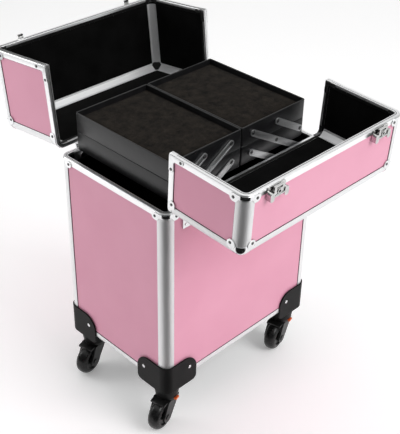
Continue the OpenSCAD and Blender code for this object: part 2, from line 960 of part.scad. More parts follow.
// Plate with two round cheeks that carry the lever's pin
module latch_plates() {
    color(chrome) front_lid_place() for (s = [-1, 1])
        translate([s * latch_x, 0, 0]) difference() {
            union() {
                translate([0, front_lid_d - (latch_l + latch_edge) / 2, lid_h]) linear_extrude(latch_plate_t)
                    round_rect(latch_w, latch_l - latch_edge, latch_r);
                for (c = [-1, 1])
                    translate([c * (latch_w - cheek_t) / 2, latch_pin_v, lid_h]) linear_extrude(cheek_h)
                        round_rect(cheek_t, cheek_l, cheek_r);
            }
            translate([0, latch_pin_v, latch_pin_w]) rotate([0, 90, 0])
                cylinder(h = far, r = latch_pin_r + pin_fit, center = true);
        }
}

// Lever with its pin and a key socket, and a window near its end that drops over the catch's lip
module latch_lever() {
    key_v = (latch_pin_v + tongue_end) / 2;
    translate([0, latch_pin_v, latch_pin_w]) rotate([0, 90, 0])
        cylinder(h = latch_w, r = latch_pin_r, center = true);
    translate([0, latch_pin_v, latch_pin_w]) rotate([0, 90, 0])
        cylinder(h = lever_w, r = barrel_r, center = true);
    difference() {
        union() {
            translate([0, (latch_pin_v + lever_end) / 2, lever_low]) linear_extrude(lever_t)
                round_rect(lever_w, lever_end - latch_pin_v, lever_r);
            translate([0, key_v, lever_low + lever_t - 1]) cylinder(h = keyhole_h + 1, r = keyhole_r);
        }
        translate([-tongue_w / 2 - window_gap, tongue_end - window_gap, lever_low - 1])
            cube([tongue_w + 2 * window_gap, tongue_lip + 2 * window_gap, lever_t + 2]);
        translate([0, key_v, lever_low + lever_t + keyhole_h - key_bore_deep]) cylinder(h = far, r = key_bore_r);
    }
}

module latch_lever_left() {
    color(chrome) front_lid_place() translate([-latch_x, 0, 0]) latch_lever();
}

module latch_lever_right() {
    color(chrome) front_lid_place() translate([latch_x, 0, 0]) latch_lever();
}

// Plates on the edge of the rear lid half, each with a raised tongue that reaches past the edge
module latch_catches() {
    color(chrome) rear_lid_place() for (s = [-1, 1])
        translate([s * latch_x, rear_lid_d, lid_h]) union() {
            translate([-lever_w / 2, -catch_l, 0]) cube([lever_w, catch_l - latch_edge, catch_t]);
            translate([-tongue_w / 2, -riser_l, 0]) cube([tongue_w, riser_l - latch_edge, tongue_low + tongue_t]);
            translate([-tongue_w / 2, -riser_l, tongue_low]) cube([tongue_w, riser_l + tongue_reach, tongue_t]);
            translate([-tongue_w / 2, tongue_reach - tongue_lip, tongue_low])
                cube([tongue_w, tongue_lip, tongue_t + tongue_lip_h]);
        }
}

// Carry handle on the rear lid half's top, beside the rail along the split

module carry_handle_brackets() {
    ear = 2 * handle_ear_r;
    color(chrome) rear_lid_place() both_ends() translate([handle_w / 2, handle_v, 0]) difference() {
        translate([-handle_ear_t, 0, 0]) union() {
            translate([0, -handle_foot / 2, handle_top]) cube([handle_foot_x, handle_foot, handle_foot_t]);
            translate([0, -ear / 2, handle_top]) cube([handle_ear_t, ear, handle_z - handle_top]);
            translate([0, 0, handle_z]) rotate([0, 90, 0]) cylinder(h = handle_ear_t, r = handle_ear_r);
        }
        translate([0, 0, handle_z]) rotate([0, 90, 0])
            cylinder(h = far, r = handle_pin_r + pin_fit, center = true);
    }
}

// Bail with two arms, a round grip and a pin at each end, hanging free while the lid half is open
module carry_handle() {
    arm = handle_arm;
    inner = handle_w / 2 - handle_ear_t - handle_ear_gap;
    pin_l = handle_pin_in + handle_ear_gap + handle_ear_t + handle_pin_out;
    color(black) rear_lid_place() translate([0, handle_v, handle_z]) rotate([-handle_hang, 0, 0]) {
        translate([0, -handle_reach, 0]) rotate([0, 90, 0]) cylinder(h = 2 * inner, r = grip_r, center = true);
        both_ends() {
            translate([inner - arm, -handle_reach, -arm / 2]) cube([arm, handle_reach, arm]);
            translate([inner - arm, 0, 0]) rotate([0, 90, 0]) cylinder(h = arm, r = arm / 2);
            translate([inner - handle_pin_in, 0, 0]) rotate([0, 90, 0]) cylinder(h = pin_l, r = handle_pin_r);
        }
    }
}

// Trays and their arms: side is -1 for the near column at -X and 1 for the far one at +X

// Pieces drawn for the column at +X, mirrored for the one at -X
module column(side) {
    mirror([side < 0 ? 1 : 0, 0, 0]) children();
}

module tray_pivot_bores(xs, z) {
    for (x = xs)
        translate([x, 0, z + pivot_h]) rotate([90, 0, 0]) cylinder(h = far, r = pivot_r + pin_fit, center = true);
}

module tray(z, xs) {
    color(black) difference() {
        translate([tray_mid_gap / 2 + tray_l / 2, 0, z]) difference() {
            linear_extrude(tray_h) round_rect(tray_l, tray_d, tray_corner_r);
            translate([0, 0, tray_t]) linear_extrude(tray_h)
                round_rect(tray_l - 2 * tray_t, tray_d - 2 * tray_t, tray_corner_r - tray_corner_in);
        }
        tray_pivot_bores(xs, z);
    }
}

module lower_tray(side) {
    column(side) tray(low_z, [low_long_x, low_short_x, base_pivot_x]);
}

module upper_tray(side) {
    column(side) tray(top_z, [top_long_x, top_short_x]);
}

// Soft mat that fills an upper tray to just below its rim
module upper_mat(side) {
    w = tray_l - 2 * tray_t - 2 * mat_fit;
    d = tray_d - 2 * tray_t - 2 * mat_fit;
    h = tray_h - tray_t - mat_drop;
    color([0.16, 0.14, 0.12]) column(side)
        translate([tray_mid_gap / 2 + tray_l / 2 - w / 2, -d / 2, top_z + tray_t]) cube([w, d, h]);
}

// Flat bar with round ends, lying in the plane of an arm from its lowest pivot
module arm_bar(len) {
    rotate(arm_tilt) union() {
        translate([0, -arm_w / 2]) square([len, arm_w]);
        circle(arm_w / 2);
        translate([len, 0]) circle(arm_w / 2);
    }
}

// Stub that turns in a tray's side wall, with a rivet head outside
module tray_stub(at) {
    rotate([0, 0, arm_tilt]) translate([at, 0, 0]) {
        translate([0, 0, -arm_gap - tray_t - stub_in])
            cylinder(h = arm_gap + tray_t + stub_in + arm_t / 2, r = pivot_r);
        translate([0, 0, arm_t]) cylinder(h = pivot_head_h, r1 = pivot_head_r, r2 = pivot_head_r * 0.75);
    }
}

// Stub that turns in the plate on the base's wall
module base_stub() {
    reach = plate_y - arm_y - arm_t;
    translate([0, 0, arm_t]) cylinder(h = reach - shoulder_gap, r = pivot_head_r);
    translate([0, 0, arm_t]) cylinder(h = reach + arm_plate_t, r = pivot_r);
}

// Both bars of an arm, on the front and the rear of a column, drawn with +Z outwards
module arm_pair(side, x, z) {
    color(silver) column(side) both_sides()
        translate([x, -arm_y, z]) rotate([90, 0, 0]) children();
}

module long_arms(side) {
    arm_pair(side, base_pivot_x, base_pivot_z) {
        union() {
            linear_extrude(arm_t) arm_bar(2 * arm_len);
            base_stub();
            tray_stub(arm_len);
            tray_stub(2 * arm_len);
        }
    }
}

module lower_arms(side) {
    arm_pair(side, base_pivot_x - pivot_span, base_pivot_z) {
        union() {
            linear_extrude(arm_t) arm_bar(arm_len);
            base_stub();
            tray_stub(arm_len);
        }
    }
}

module upper_arms(side) {
    arm_pair(side, base_pivot_x, low_z + pivot_h) {
        union() {
            linear_extrude(arm_t) arm_bar(arm_len);
            tray_stub(0);
            tray_stub(arm_len);
        }
    }
}

// Plates on the inside of the front and rear rims, with a bore for each arm
module tray_arm_plates() {
    w = 2 * (base_pivot_x + arm_plate_side);
    color(silver) both_sides() difference() {
        translate([-w / 2, -plate_y - arm_plate_t, base_pivot_z - arm_plate_h / 2])
            cube([w, arm_plate_t, arm_plate_h]);
        for (x = [base_pivot_x, base_pivot_x - pivot_span], s = [-1, 1])
            translate([s * x, -case_d / 2, base_pivot_z]) rotate([90, 0, 0])
                cylinder(h = far, r = pivot_r + pin_fit, center = true);
    }
}

module near_lower_tray() {
    lower_tray(-1);
}

module near_upper_tray() {
    upper_tray(-1);
}

module near_upper_mat() {
    upper_mat(-1);
}

module near_long_arms() {
    long_arms(-1);
}

module near_lower_arms() {
    lower_arms(-1);
}

module near_upper_arms() {
    upper_arms(-1);
}

module far_lower_tray() {
    lower_tray(1);
}

module far_upper_tray() {
    upper_tray(1);
}

module far_upper_mat() {
    upper_mat(1);
}

module far_long_arms() {
    long_arms(1);
}

module far_lower_arms() {
    lower_arms(1);
}

module far_upper_arms() {
    upper_arms(1);
}

// Pull handle on the +X end

module tube(r, low, high) {
    translate([tube_x, tube_y, low]) difference() {
        cylinder(h = high - low, r = r);
        translate([0, 0, -1]) cylinder(h = high - low + 2, r = r - tube_wall);
    }
}

module mount_block(low, high, floor) {
    difference() {
        translate([end_face, -mount_y, low]) cube([mount_x - end_face, 2 * mount_y, high - low]);
        both_sides() translate([tube_x, tube_y, low + floor])
            cylinder(h = far, r = tube_r + tube_fit);
    }
}

// Upper block that the tubes pass through and lower block that they stand in
module trolley_brackets() {
    color(black) {
        mount_block(tube_top - bracket_deep, tube_top - 1, -1);
        mount_block(foot_low, foot_low + foot_h, foot_floor);
    }
}

module trolley_outer_tubes() {
    color(silver) both_sides() tube(tube_r, tube_foot, tube_top);
}

module trolley_middle_tubes() {
    color(silver) both_sides()
        tube(tube_r - tube_wall - tube_fit, tube_foot + stage_step, tube_top + stage_step);
}

module trolley_inner_tubes() {
    color(silver) both_sides()
        tube(tube_r - 2 * tube_wall - 2 * tube_fit, tube_foot + 2 * stage_step, grip_top - grip_h);
}

module button_hole(fit) {
    translate([tube_x - button_d / 2 - fit, -button_w / 2 - fit, grip_top - button_h - fit])
        cube([button_d + 2 * fit, button_w + 2 * fit, far]);
}

module trolley_grip() {
    w = 2 * (tube_y + tube_r + grip_side);
    color(black) difference() {
        translate([tube_x, 0, grip_top - grip_h]) linear_extrude(grip_h)
            round_rect(grip_deep, w, grip_deep * 0.45);
        button_hole(button_fit);
    }
}

module trolley_button() {
    low = grip_top - button_h + button_travel + button_fit;
    color(chrome) translate([tube_x - button_d / 2, -button_w / 2, low]) cube([button_d, button_w, button_h]);
}

base_front_panel();
base_rear_panel();
base_left_panel();
base_right_panel();
base_bottom_panel();
base_edge_profiles();
base_rim_rail();
base_corner_brackets();
base_rivets();
base_lining();
caster_corner_guards();
hinge_base_leaves();
hinge_pins();
tray_arm_plates();
trolley_brackets();
trolley_outer_tubes();
trolley_middle_tubes();
trolley_inner_tubes();
trolley_grip();
trolley_button();
front_lid_panels();
front_lid_edge_profiles();
front_lid_rails();
front_lid_corner_brackets();
front_lid_lining();
front_lid_hinge_leaves();
latch_plates();
latch_lever_left();
latch_lever_right();
rear_lid_panels();
rear_lid_edge_profiles();
rear_lid_rails();
rear_lid_corner_brackets();
rear_lid_lining();
rear_lid_hinge_leaves();
latch_catches();
carry_handle_brackets();
carry_handle();
near_lower_tray();
near_upper_tray();
near_upper_mat();
near_long_arms();
near_lower_arms();
near_upper_arms();
far_lower_tray();
far_upper_tray();
far_upper_mat();
far_long_arms();
far_lower_arms();
far_upper_arms();
caster_fork_front_left();
caster_fork_front_right();
caster_fork_rear_left();
caster_fork_rear_right();
caster_wheel_front_left();
caster_wheel_front_right();
caster_wheel_rear_left();
caster_wheel_rear_right();
brake_lever_front_left();
brake_lever_front_right();
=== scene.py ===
"""Looks of the rolling makeup case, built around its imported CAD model.

Sizes of pieces are millimetres in the CAD frame, with +X along the hinges and the front at -Y.
Each mesh is scaled to metres when it is made. Floor, lights and camera are in metres.
"""

import json
from math import atan2, cos, pi, radians, sin, sqrt, tan

import bmesh
import bpy
from mathutils import Matrix, Vector, noise


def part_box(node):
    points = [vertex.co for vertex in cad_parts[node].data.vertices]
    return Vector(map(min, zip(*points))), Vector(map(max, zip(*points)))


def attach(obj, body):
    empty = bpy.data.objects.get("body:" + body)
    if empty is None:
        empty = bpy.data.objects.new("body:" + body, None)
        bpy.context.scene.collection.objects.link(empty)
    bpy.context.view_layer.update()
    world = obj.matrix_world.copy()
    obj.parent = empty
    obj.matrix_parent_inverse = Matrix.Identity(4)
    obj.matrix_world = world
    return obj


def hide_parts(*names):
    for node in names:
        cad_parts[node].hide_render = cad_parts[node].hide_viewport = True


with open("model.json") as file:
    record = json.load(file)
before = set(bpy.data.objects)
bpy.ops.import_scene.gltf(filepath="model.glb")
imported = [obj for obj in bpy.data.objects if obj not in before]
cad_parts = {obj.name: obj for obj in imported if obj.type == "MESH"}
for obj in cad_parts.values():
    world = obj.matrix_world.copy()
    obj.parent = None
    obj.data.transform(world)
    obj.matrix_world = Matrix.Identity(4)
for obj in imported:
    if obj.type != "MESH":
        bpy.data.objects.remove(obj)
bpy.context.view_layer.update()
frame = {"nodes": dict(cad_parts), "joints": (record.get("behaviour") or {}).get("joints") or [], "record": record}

MM = 0.001
HERE = Matrix.Identity(4)
SIDES = (-1, 1)
X_AXIS, Y_AXIS, Z_AXIS = (1, 0, 0), (0, 1, 0), (0, 0, 1)
Y_BACK, Z_DOWN = (0, -1, 0), (0, 0, -1)


# Sizes, from the frame where it gives them


def box_mm(node):
    """Lowest and highest corner of a CAD node."""
    low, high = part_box(node)
    return low / MM, high / MM


rim_low, rim_high = box_mm("base_rim_rail")
CASE_W = rim_high.x - rim_low.x
CASE_D = rim_high.y - rim_low.y
HALF_W, HALF_D = CASE_W / 2, CASE_D / 2
RAIL_H = rim_high.z - rim_low.z
Z_RIM = rim_high.z
Z_BASE = box_mm("base_edge_profiles")[0].z

JOINTS = {joint["name"]: joint for joint in frame["joints"]}
BODY_OF = {node: body for body, nodes in frame["record"]["behaviour"]["bodies"].items() for node in nodes}

# Lid halves
LID_H = 141
LID_GAP = 0.5
SPLIT_GAP = 1
FRONT_D = 101
REAR_D = CASE_D - FRONT_D - SPLIT_GAP

# Aluminium profiles and rails, and the panels in their slots
EDGE_R = 14
COVER = 18
INNER = 15
LIP = 1.1
SLOT = 5.2
WALL = 2 * LIP + SLOT
RAIL_TOP = 1.4
PANEL_IN = 1.2
PANEL_T = 5

# Corner fittings
PLATE_T = 0.8
BRACKET_L = 28
BRACKET_H = 13

# Rivets: their heads are sunk a little, and have an upright brim of this share of their height
RIVET_R = 2.3
RIVET_H = 1
RIVET_SUNK = 0.2
RIVET_BRIM = 0.25

# Edges that turn by more than this many degrees are sharp
SHARP = 32

# Points that are closer than this are one
WELD = 0.001


# Materials


# The range that most of a noise falls in
NOISE_SPREAD = (0.3, 0.7)


class Finish:
    """A procedural material, whose nodes feed one Principled shader with its constants set on its sockets."""

    def __init__(self, name, **sockets):
        self.material = bpy.data.materials.new(name)
        self.material.use_nodes = True
        self.tree = self.material.node_tree
        self.shader = self.tree.nodes["Principled BSDF"]
        for socket, value in sockets.items():
            self.shader.inputs[socket.replace("_", " ")].default_value = value

    def node(self, kind, **inputs):
        made = self.tree.nodes.new("ShaderNode" + kind)
        for name, value in inputs.items():
            made.inputs[name.replace("_", " ")].default_value = value
        return made

    def link(self, start, end):
        self.tree.links.new(start, end)

    def noise(self, scale, detail=3.0, breakup=0.5, source="Object"):
        """Noise; its scale is per metre, one number for all axes or one for each."""
        scales = scale if isinstance(scale, tuple) else (scale,) * 3
        mapping = self.node("Mapping", Scale=scales)
        self.link(self.node("TexCoord").outputs[source], mapping.inputs["Vector"])
        made = self.node("TexNoise", Scale=1.0, Detail=detail, Roughness=breakup)
        self.link(mapping.outputs["Vector"], made.inputs["Vector"])
        return made.outputs["Fac"]

    def colour(self, factor, dark, light, spread=NOISE_SPREAD):
        ramp = self.node("ValToRGB")
        for stop, place, value in zip(ramp.color_ramp.elements, spread, (dark, light)):
            stop.position = place
            stop.color = (*value, 1)
        self.link(factor, ramp.inputs["Fac"])
        self.link(ramp.outputs["Color"], self.shader.inputs["Base Color"])

    def roughness(self, factor, low, high):
        start, end = NOISE_SPREAD
        spread = self.node("MapRange", From_Min=start, From_Max=end, To_Min=low, To_Max=high)
        self.link(factor, spread.inputs["Value"])
        self.link(spread.outputs["Result"], self.shader.inputs["Roughness"])

    def bump(self, height, distance_mm):
        made = self.node("Bump", Strength=1.0, Distance=distance_mm * MM)
        self.link(height, made.inputs["Height"])
        self.link(made.outputs["Normal"], self.shader.inputs["Normal"])


def grey(value):
    return (value,) * 3


def surface(name, dark, light, gloss, relief, tone, grain=None, spread=NOISE_SPREAD, **sockets):
    """Material with its tone from one noise, and its gloss and relief from the same or a finer one.

    Gloss is the range of the roughness, relief a height in mm, and tone and grain are what noise() takes.
    """
    f = Finish(name, **sockets)
    clouds = f.noise(*tone)
    fine = f.noise(*grain) if grain else clouds
    f.colour(clouds, dark, light, spread)
    f.roughness(fine, *gloss)
    f.bump(fine, relief)
    return f.material


def metal(name, **values):
    return surface(name, Metallic=1.0, IOR=1.5, **values)


def drawn_aluminium(name, gloss):
    """Anodised aluminium with fine streaks along the length of the profile, which is U."""
    return metal(name, dark=(0.86, 0.865, 0.87), light=(0.93, 0.935, 0.94), gloss=gloss, relief=0.01,
                 tone=((14, 2600, 1), 4, 0.6, "UV"))


def chrome():
    """Polished plating with faint smears and a slight waviness."""
    f = Finish("chrome", Metallic=1.0, IOR=1.5)
    smear = f.noise(120, 5, 0.6)
    f.colour(smear, dark=(0.70, 0.71, 0.72), light=(0.82, 0.825, 0.83))
    f.roughness(smear, low=0.05, high=0.16)
    f.bump(f.noise(260, 1), 0.04)
    return f.material


def satin_plastic(name, dark, light):
    """Plastic of one colour, for forks, brake levers and the release button."""
    return surface(name, dark=dark, light=light, gloss=(0.3, 0.42), relief=0.03, tone=(200, 3), IOR=1.49)


# Pink sheet with a faint pebble and slight unevenness of tone
PINK = surface(
    "pink_laminate", dark=(0.79, 0.345, 0.472), light=(0.83, 0.377, 0.508), gloss=(0.34, 0.44), relief=0.05,
    tone=(9, 4), grain=(900, 2), IOR=1.5, Specular_IOR_Level=0.3, Coat_Weight=0.08, Coat_Roughness=0.2)
# Edge profiles, and the brighter rails
SATIN = drawn_aluminium("satin_aluminium", gloss=(0.54, 0.62))
BRIGHT = drawn_aluminium("bright_aluminium", gloss=(0.26, 0.36))
# Pull handle's tubes, streaked along their upright length
TUBE = metal(
    "satin_tube", dark=(0.70, 0.71, 0.72), light=(0.80, 0.81, 0.82), gloss=(0.28, 0.40), relief=0.01,
    tone=((1800, 1800, 12), 3))
CHROME = chrome()
# Dull plating of the latches
NICKEL = metal(
    "nickel", dark=(0.48, 0.48, 0.475), light=(0.62, 0.62, 0.61), gloss=(0.14, 0.26), relief=0.03,
    tone=(160, 5, 0.6))
# Dark steel of the plates inside the corner fittings and of the arms' pins; on the rivets of the corner fittings
# it is painted shade, in place of the dark reflections of chrome heads
DARK_STEEL_AND_SHADE = metal(
    "dark_steel_and_painted_shade", dark=grey(0.10), light=grey(0.17), gloss=(0.25, 0.38), relief=0.01, tone=(600, 4))
# Pressed steel of the tray arms
ZINC = metal(
    "zinc_steel", dark=(0.50, 0.505, 0.51), light=(0.63, 0.635, 0.64), gloss=(0.32, 0.46), relief=0.015,
    tone=(420, 5, 0.65))
# Black plastic with a fine moulded grain
BLACK = surface(
    "moulded_black", dark=grey(0.004), light=grey(0.008), gloss=(0.36, 0.5), relief=0.05,
    tone=(40, 3), grain=(1500, 2), IOR=1.49, Specular_IOR_Level=0.12)
# Glossy wheels, scuffed a little
RUBBER = surface(
    "wheel_rubber", dark=grey(0.003), light=grey(0.008), gloss=(0.18, 0.42), relief=0.02,
    tone=(180, 6, 0.7), IOR=1.5, Specular_IOR_Level=0.35)
# Satin black of the trays
TRAY = surface(
    "tray_plastic", dark=(0.004, 0.004, 0.0045), light=(0.008, 0.008, 0.009), gloss=(0.28, 0.36), relief=0.03,
    tone=(60, 4), grain=(1100, 2), IOR=1.5)
# Short dark brown felt with a mottled nap
FELT = surface(
    "felt", dark=(0.0032, 0.0027, 0.0022), light=(0.025, 0.020, 0.0155), gloss=(0.85, 1.0), relief=0.5,
    tone=(60, 6, 0.75), grain=(900, 4, 0.8), spread=(0.33, 0.7),
    IOR=1.4, Sheen_Weight=0.035, Sheen_Roughness=0.5, Specular_IOR_Level=0.08)
# Matt black lining with a fine weave
LINING = surface(
    "lining_cloth", dark=grey(0.0015), light=grey(0.004), gloss=(0.8, 0.95), relief=0.12,
    tone=(30, 4), grain=(1600, 3), IOR=1.4, Sheen_Weight=0.02, Sheen_Roughness=0.4, Specular_IOR_Level=0.08)
# Black laminate under the bottom board
BOARD = surface(
    "black_board", dark=grey(0.012), light=grey(0.03), gloss=(0.45, 0.6), relief=0.05,
    tone=((30, 700, 700), 4), IOR=1.5)
GLOSSY = satin_plastic("caster_black", dark=grey(0.004), light=grey(0.008))
ORANGE = satin_plastic("brake_orange", dark=(0.78, 0.11, 0.02), light=(0.88, 0.17, 0.04))
GREY = satin_plastic("button_grey", dark=(0.16, 0.16, 0.165), light=(0.21, 0.21, 0.215))


# Outlines and frames


def rounded(corners):
    """Closed outline through the corners (x, y, radius), each rounded by its radius."""
    points = []
    for i, (x, y, r) in enumerate(corners):
        here = Vector((x, y))
        if r == 0:
            points.append(here)
            continue
        back = (Vector(corners[i - 1][:2]) - here).normalized()
        ahead = (Vector(corners[(i + 1) % len(corners)][:2]) - here).normalized()
        half = back.angle(ahead) / 2
        centre = here + (back + ahead).normalized() * (r / sin(half))
        start = here + back * (r / tan(half)) - centre
        end = here + ahead * (r / tan(half)) - centre
        turn = atan2(start.cross(end), start.dot(end))
        steps = max(2, round(4 * sqrt(r)))
        points += [centre + Matrix.Rotation(turn * k / steps, 2) @ start for k in range(steps + 1)]
    return [p for i, p in enumerate(points) if (p - points[i - 1]).length > WELD]


def inset(outline, d):
    """Counterclockwise outline moved inwards by d, at sharp corners by no more than twice d."""
    moved = []
    for i, p in enumerate(outline):
        a, b = p - outline[i - 1], outline[(i + 1) % len(outline)] - p
        across = Vector((-a.y, a.x)).normalized()
        middle = (across + Vector((-b.y, b.x)).normalized()).normalized()
        moved.append(p + middle * (d / max(0.5, middle.dot(across))))
    return moved


def box_outline(x0, y0, x1, y1, r):
    return rounded([(x0, y0, r), (x1, y0, r), (x1, y1, r), (x0, y1, r)])


def rectangle(w, d, r):
    return box_outline(-w / 2, -d / 2, w / 2, d / 2, r)


def sides_where(outline, holds, ends=all):
    """Numbers of the outline's sides with both ends, or any end, at points where holds is true."""
    count = len(outline)
    return [k for k in range(count) if ends((holds(outline[k]), holds(outline[(k + 1) % count])))]


def facing(origin, axis):
    """Frame at origin whose Z points along axis and whose Y leans upwards."""
    z = Vector(axis).normalized()
    x = Vector(Z_AXIS).cross(z)
    x = x.normalized() if x.length > 1e-6 else Vector(X_AXIS)
    return corner_frame(origin, x, z.cross(x), z)


def corner_frame(origin, x, y, z):
    """Frame at origin with these three directions as its axes."""
    turned = Matrix((Vector(x), Vector(y), Vector(z))).transposed().to_4x4()
    return Matrix.Translation(Vector(origin)) @ turned


# Mesh building


def fill_grid(bm, grid, across, up):
    """Faces between the points of a grid that is listed row by row, across by up cells."""
    n = across + 1
    for j in range(up):
        for i in range(across):
            k = j * n + i
            bm.faces.new((grid[k], grid[k + 1], grid[k + n + 1], grid[k + n]))


class Shape:
    """Collects the faces of one piece in millimetres, with UVs along and around each sweep in metres."""

    def __init__(self, place=HERE):
        self.place = place
        self.verts, self.faces, self.uvs, self.slots = [], [], [], []

    def add(self, verts, faces, uvs, slots):
        start = len(self.verts)
        self.verts += [self.place @ Vector(v) for v in verts]
        self.faces += [tuple(start + i for i in face) for face in faces]
        self.uvs += uvs
        self.slots += slots

    def sweep(self, rings, closed=False, slot=0, dark=()):
        """Skin over rings of the same number of points, with flat ends unless the rings form a loop.

        The sides that dark lists take the next material slot.
        """
        count, around, along = len(rings[0]), [0.0], [0.0]
        for k in range(count):
            around.append(around[-1] + (rings[0][(k + 1) % count] - rings[0][k]).length)
        for i in range(len(rings)):
            step = rings[(i + 1) % len(rings)]
            along.append(along[-1] + max((b - a).length for a, b in zip(rings[i], step)))
        faces, uvs, slots = [], [], []
        for i in range(len(rings) if closed else len(rings) - 1):
            here, there = i * count, (i + 1) % len(rings) * count
            for k in range(count):
                k1 = (k + 1) % count
                faces.append((here + k, here + k1, there + k1, there + k))
                corners = ((i, k), (i, k + 1), (i + 1, k + 1), (i + 1, k))
                uvs.append([(along[a] * MM, around[b] * MM) for a, b in corners])
                slots.append(slot + 1 if k in dark else slot)
        if not closed:
            for first in (0, (len(rings) - 1) * count):
                faces.append(tuple(range(first, first + count)))
                uvs.append([(0, around[k] * MM) for k in range(count)])
                slots.append(slot)
        self.add([p for ring in rings for p in ring], faces, uvs, slots)

    def stack(self, outline, levels, at=HERE, slot=0):
        """Skin over insets of an outline at several heights; each level is (inset, height)."""
        self.sweep([[at @ Vector((*p, z)) for p in inset(outline, d)] for d, z in levels], slot=slot)

    def slab(self, outline, low, high, soft, at=HERE, slot=0):
        """Plate between two heights, with edges rounded by soft."""
        turn = [radians(a) for a in (0, 30, 60, 90)]
        levels = [(soft * (1 - sin(a)), low + soft * (1 - cos(a))) for a in turn]
        levels += [(soft * (1 - sin(a)), high - soft * (1 - cos(a))) for a in reversed(turn)]
        self.stack(outline, levels, at, slot)

    def lathe(self, profile, at=HERE, closed=False, slot=0, segments=24):
        """Surface of revolution about the frame's Z; the profile is (radius, height)."""
        angles = [2 * pi * k / segments for k in range(segments)]
        rings = [[at @ Vector((r * cos(a), r * sin(a), h)) for a in angles] for r, h in profile]
        self.sweep(rings, closed, slot)

    def rivet(self, at, r=RIVET_R, h=RIVET_H, slot=0):
        """Domed rivet head standing on the frame's plane."""
        turn = [radians(a) for a in range(0, 85, 12)]
        dome = [(r * cos(a), h * (RIVET_BRIM + (1 - RIVET_BRIM) * sin(a))) for a in turn]
        self.lathe([(r, -RIVET_SUNK), *dome], at, slot=slot)

    def bmesh(self, bm, at=HERE):
        bm.verts.index_update()
        faces = [tuple(v.index for v in f.verts) for f in bm.faces]
        uvs = [[(v.co.x * MM, (v.co.y + v.co.z) * MM) for v in f.verts] for f in bm.faces]
        self.add([at @ v.co for v in bm.verts], faces, uvs, [0] * len(faces))
        bm.free()

    def make(self, name, body, materials, replaced=(), crease=SHARP):
        """The finished piece, riding on its body."""
        mesh = bpy.data.meshes.new(name)
        mesh.from_pydata([v * MM for v in self.verts], [], self.faces)
        layer = mesh.uv_layers.new(name="UVMap")
        for polygon, uvs, index in zip(mesh.polygons, self.uvs, self.slots):
            polygon.material_index = index
            for loop, uv in zip(polygon.loop_indices, uvs):
                layer.data[loop].uv = uv
        bm = bmesh.new()
        bm.from_mesh(mesh)
        bmesh.ops.remove_doubles(bm, verts=bm.verts, dist=WELD * MM)
        bmesh.ops.recalc_face_normals(bm, faces=bm.faces)
        bm.to_mesh(mesh)
        bm.free()
        return place_piece(name, mesh, body, materials, replaced, crease)


def place_piece(name, mesh, body, materials, replaced, crease):
    """A piece of this mesh, smooth apart from its creases, in the place of the CAD nodes that it replaces."""
    for polygon in mesh.polygons:
        polygon.use_smooth = True
    mesh.set_sharp_from_angle(angle=radians(crease))
    for material in materials:
        mesh.materials.append(material)
    piece = bpy.data.objects.new(name, mesh)
    bpy.context.scene.collection.objects.link(piece)
    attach(piece, body)
    if replaced:
        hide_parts(*replaced)
    return piece


BEVEL_STEPS = 3
BEVEL_CREASE = 60
FLAT_DEGREES = 0.8


def soften(node, material, width, hollows=True):
    """A copy of a CAD node with its sharp edges rounded by width, in hollows too unless told otherwise."""
    mesh = frame["nodes"][node].data.copy()
    mesh.materials.clear()
    bm = bmesh.new()
    bm.from_mesh(mesh)
    bmesh.ops.remove_doubles(bm, verts=bm.verts, dist=WELD * MM)
    bmesh.ops.dissolve_limit(bm, angle_limit=radians(FLAT_DEGREES), verts=bm.verts, edges=bm.edges)
    if not hollows:
        weight = bm.edges.layers.float.new("bevel_weight_edge")
        for edge in bm.edges:
            edge[weight] = float(edge.is_convex and edge.calc_face_angle(0) > radians(SHARP))
    bm.to_mesh(mesh)
    bm.free()
    name = node + "_finished"
    piece = place_piece(name, mesh, BODY_OF[node], [material], [node], BEVEL_CREASE)
    bevel = piece.modifiers.new("soft_edges", "BEVEL")
    bevel.width = width * MM
    bevel.segments = BEVEL_STEPS
    bevel.limit_method = "ANGLE" if hollows else "WEIGHT"
    bevel.angle_limit = radians(SHARP)
    normals = piece.modifiers.new("even_normals", "WEIGHTED_NORMAL")
    normals.keep_sharp = True


def finish_node(node, material):
    """A CAD node that shows as it is, with its finished material."""
    materials = frame["nodes"][node].data.materials
    materials.clear()
    materials.append(material)


# Lid halves: x along the hinge, y from the hinge side to the split, z from the rim to the top, as when shut


def lid_place(hinge, side):
    """Frame of a lid half at rest; side is -1 for the front and 1 for the rear."""
    joint = JOINTS[hinge]
    pivot = Vector(joint["pos_m"]) / MM
    swing = Matrix.Rotation(-radians(joint["range_deg"][1]), 4, Vector(joint["axis"]))
    shut = Matrix.Translation((0, side * HALF_D, Z_RIM + LID_GAP)) @ Matrix.Diagonal((1, -side, 1, 1))
    return Matrix.Translation(pivot) @ swing @ Matrix.Translation(-pivot) @ shut


LIDS = {
    "front_lid": (lid_place("front_lid_hinge", -1), FRONT_D),
    "rear_lid": (lid_place("rear_lid_hinge", 1), REAR_D),
}


# Aluminium edge profiles, with a dark bead of painted shade where each lip meets its panel


# Width and height of the dark bead: painted shade where the lip meets the panel
SHADE_LINE_W = 0.9
SHADE_LINE_H = 0.55
EDGE = rounded([
    (0, 0, EDGE_R), (COVER, 0, 0.4), (COVER, LIP - SHADE_LINE_H, 0), (COVER + SHADE_LINE_W, LIP, 0), (EDGE_R, LIP, 0),
    (EDGE_R, LIP + SLOT, 0), (COVER, LIP + SLOT, 0.3), (COVER, WALL, 0.4), (INNER, WALL, 1.5),
    (WALL, INNER, 1.5), (WALL, COVER, 0.4), (LIP + SLOT, COVER, 0.3), (LIP + SLOT, EDGE_R, 0),
    (LIP, EDGE_R, 0), (LIP, COVER + SHADE_LINE_W, 0), (LIP - SHADE_LINE_H, COVER, 0), (0, COVER, 0.4),
])
# The bead's sides take the second slot, black as painted shade
EDGE_SHADE_SIDES = sides_where(EDGE, lambda p: max(p) > COVER + SHADE_LINE_W / 2, any)


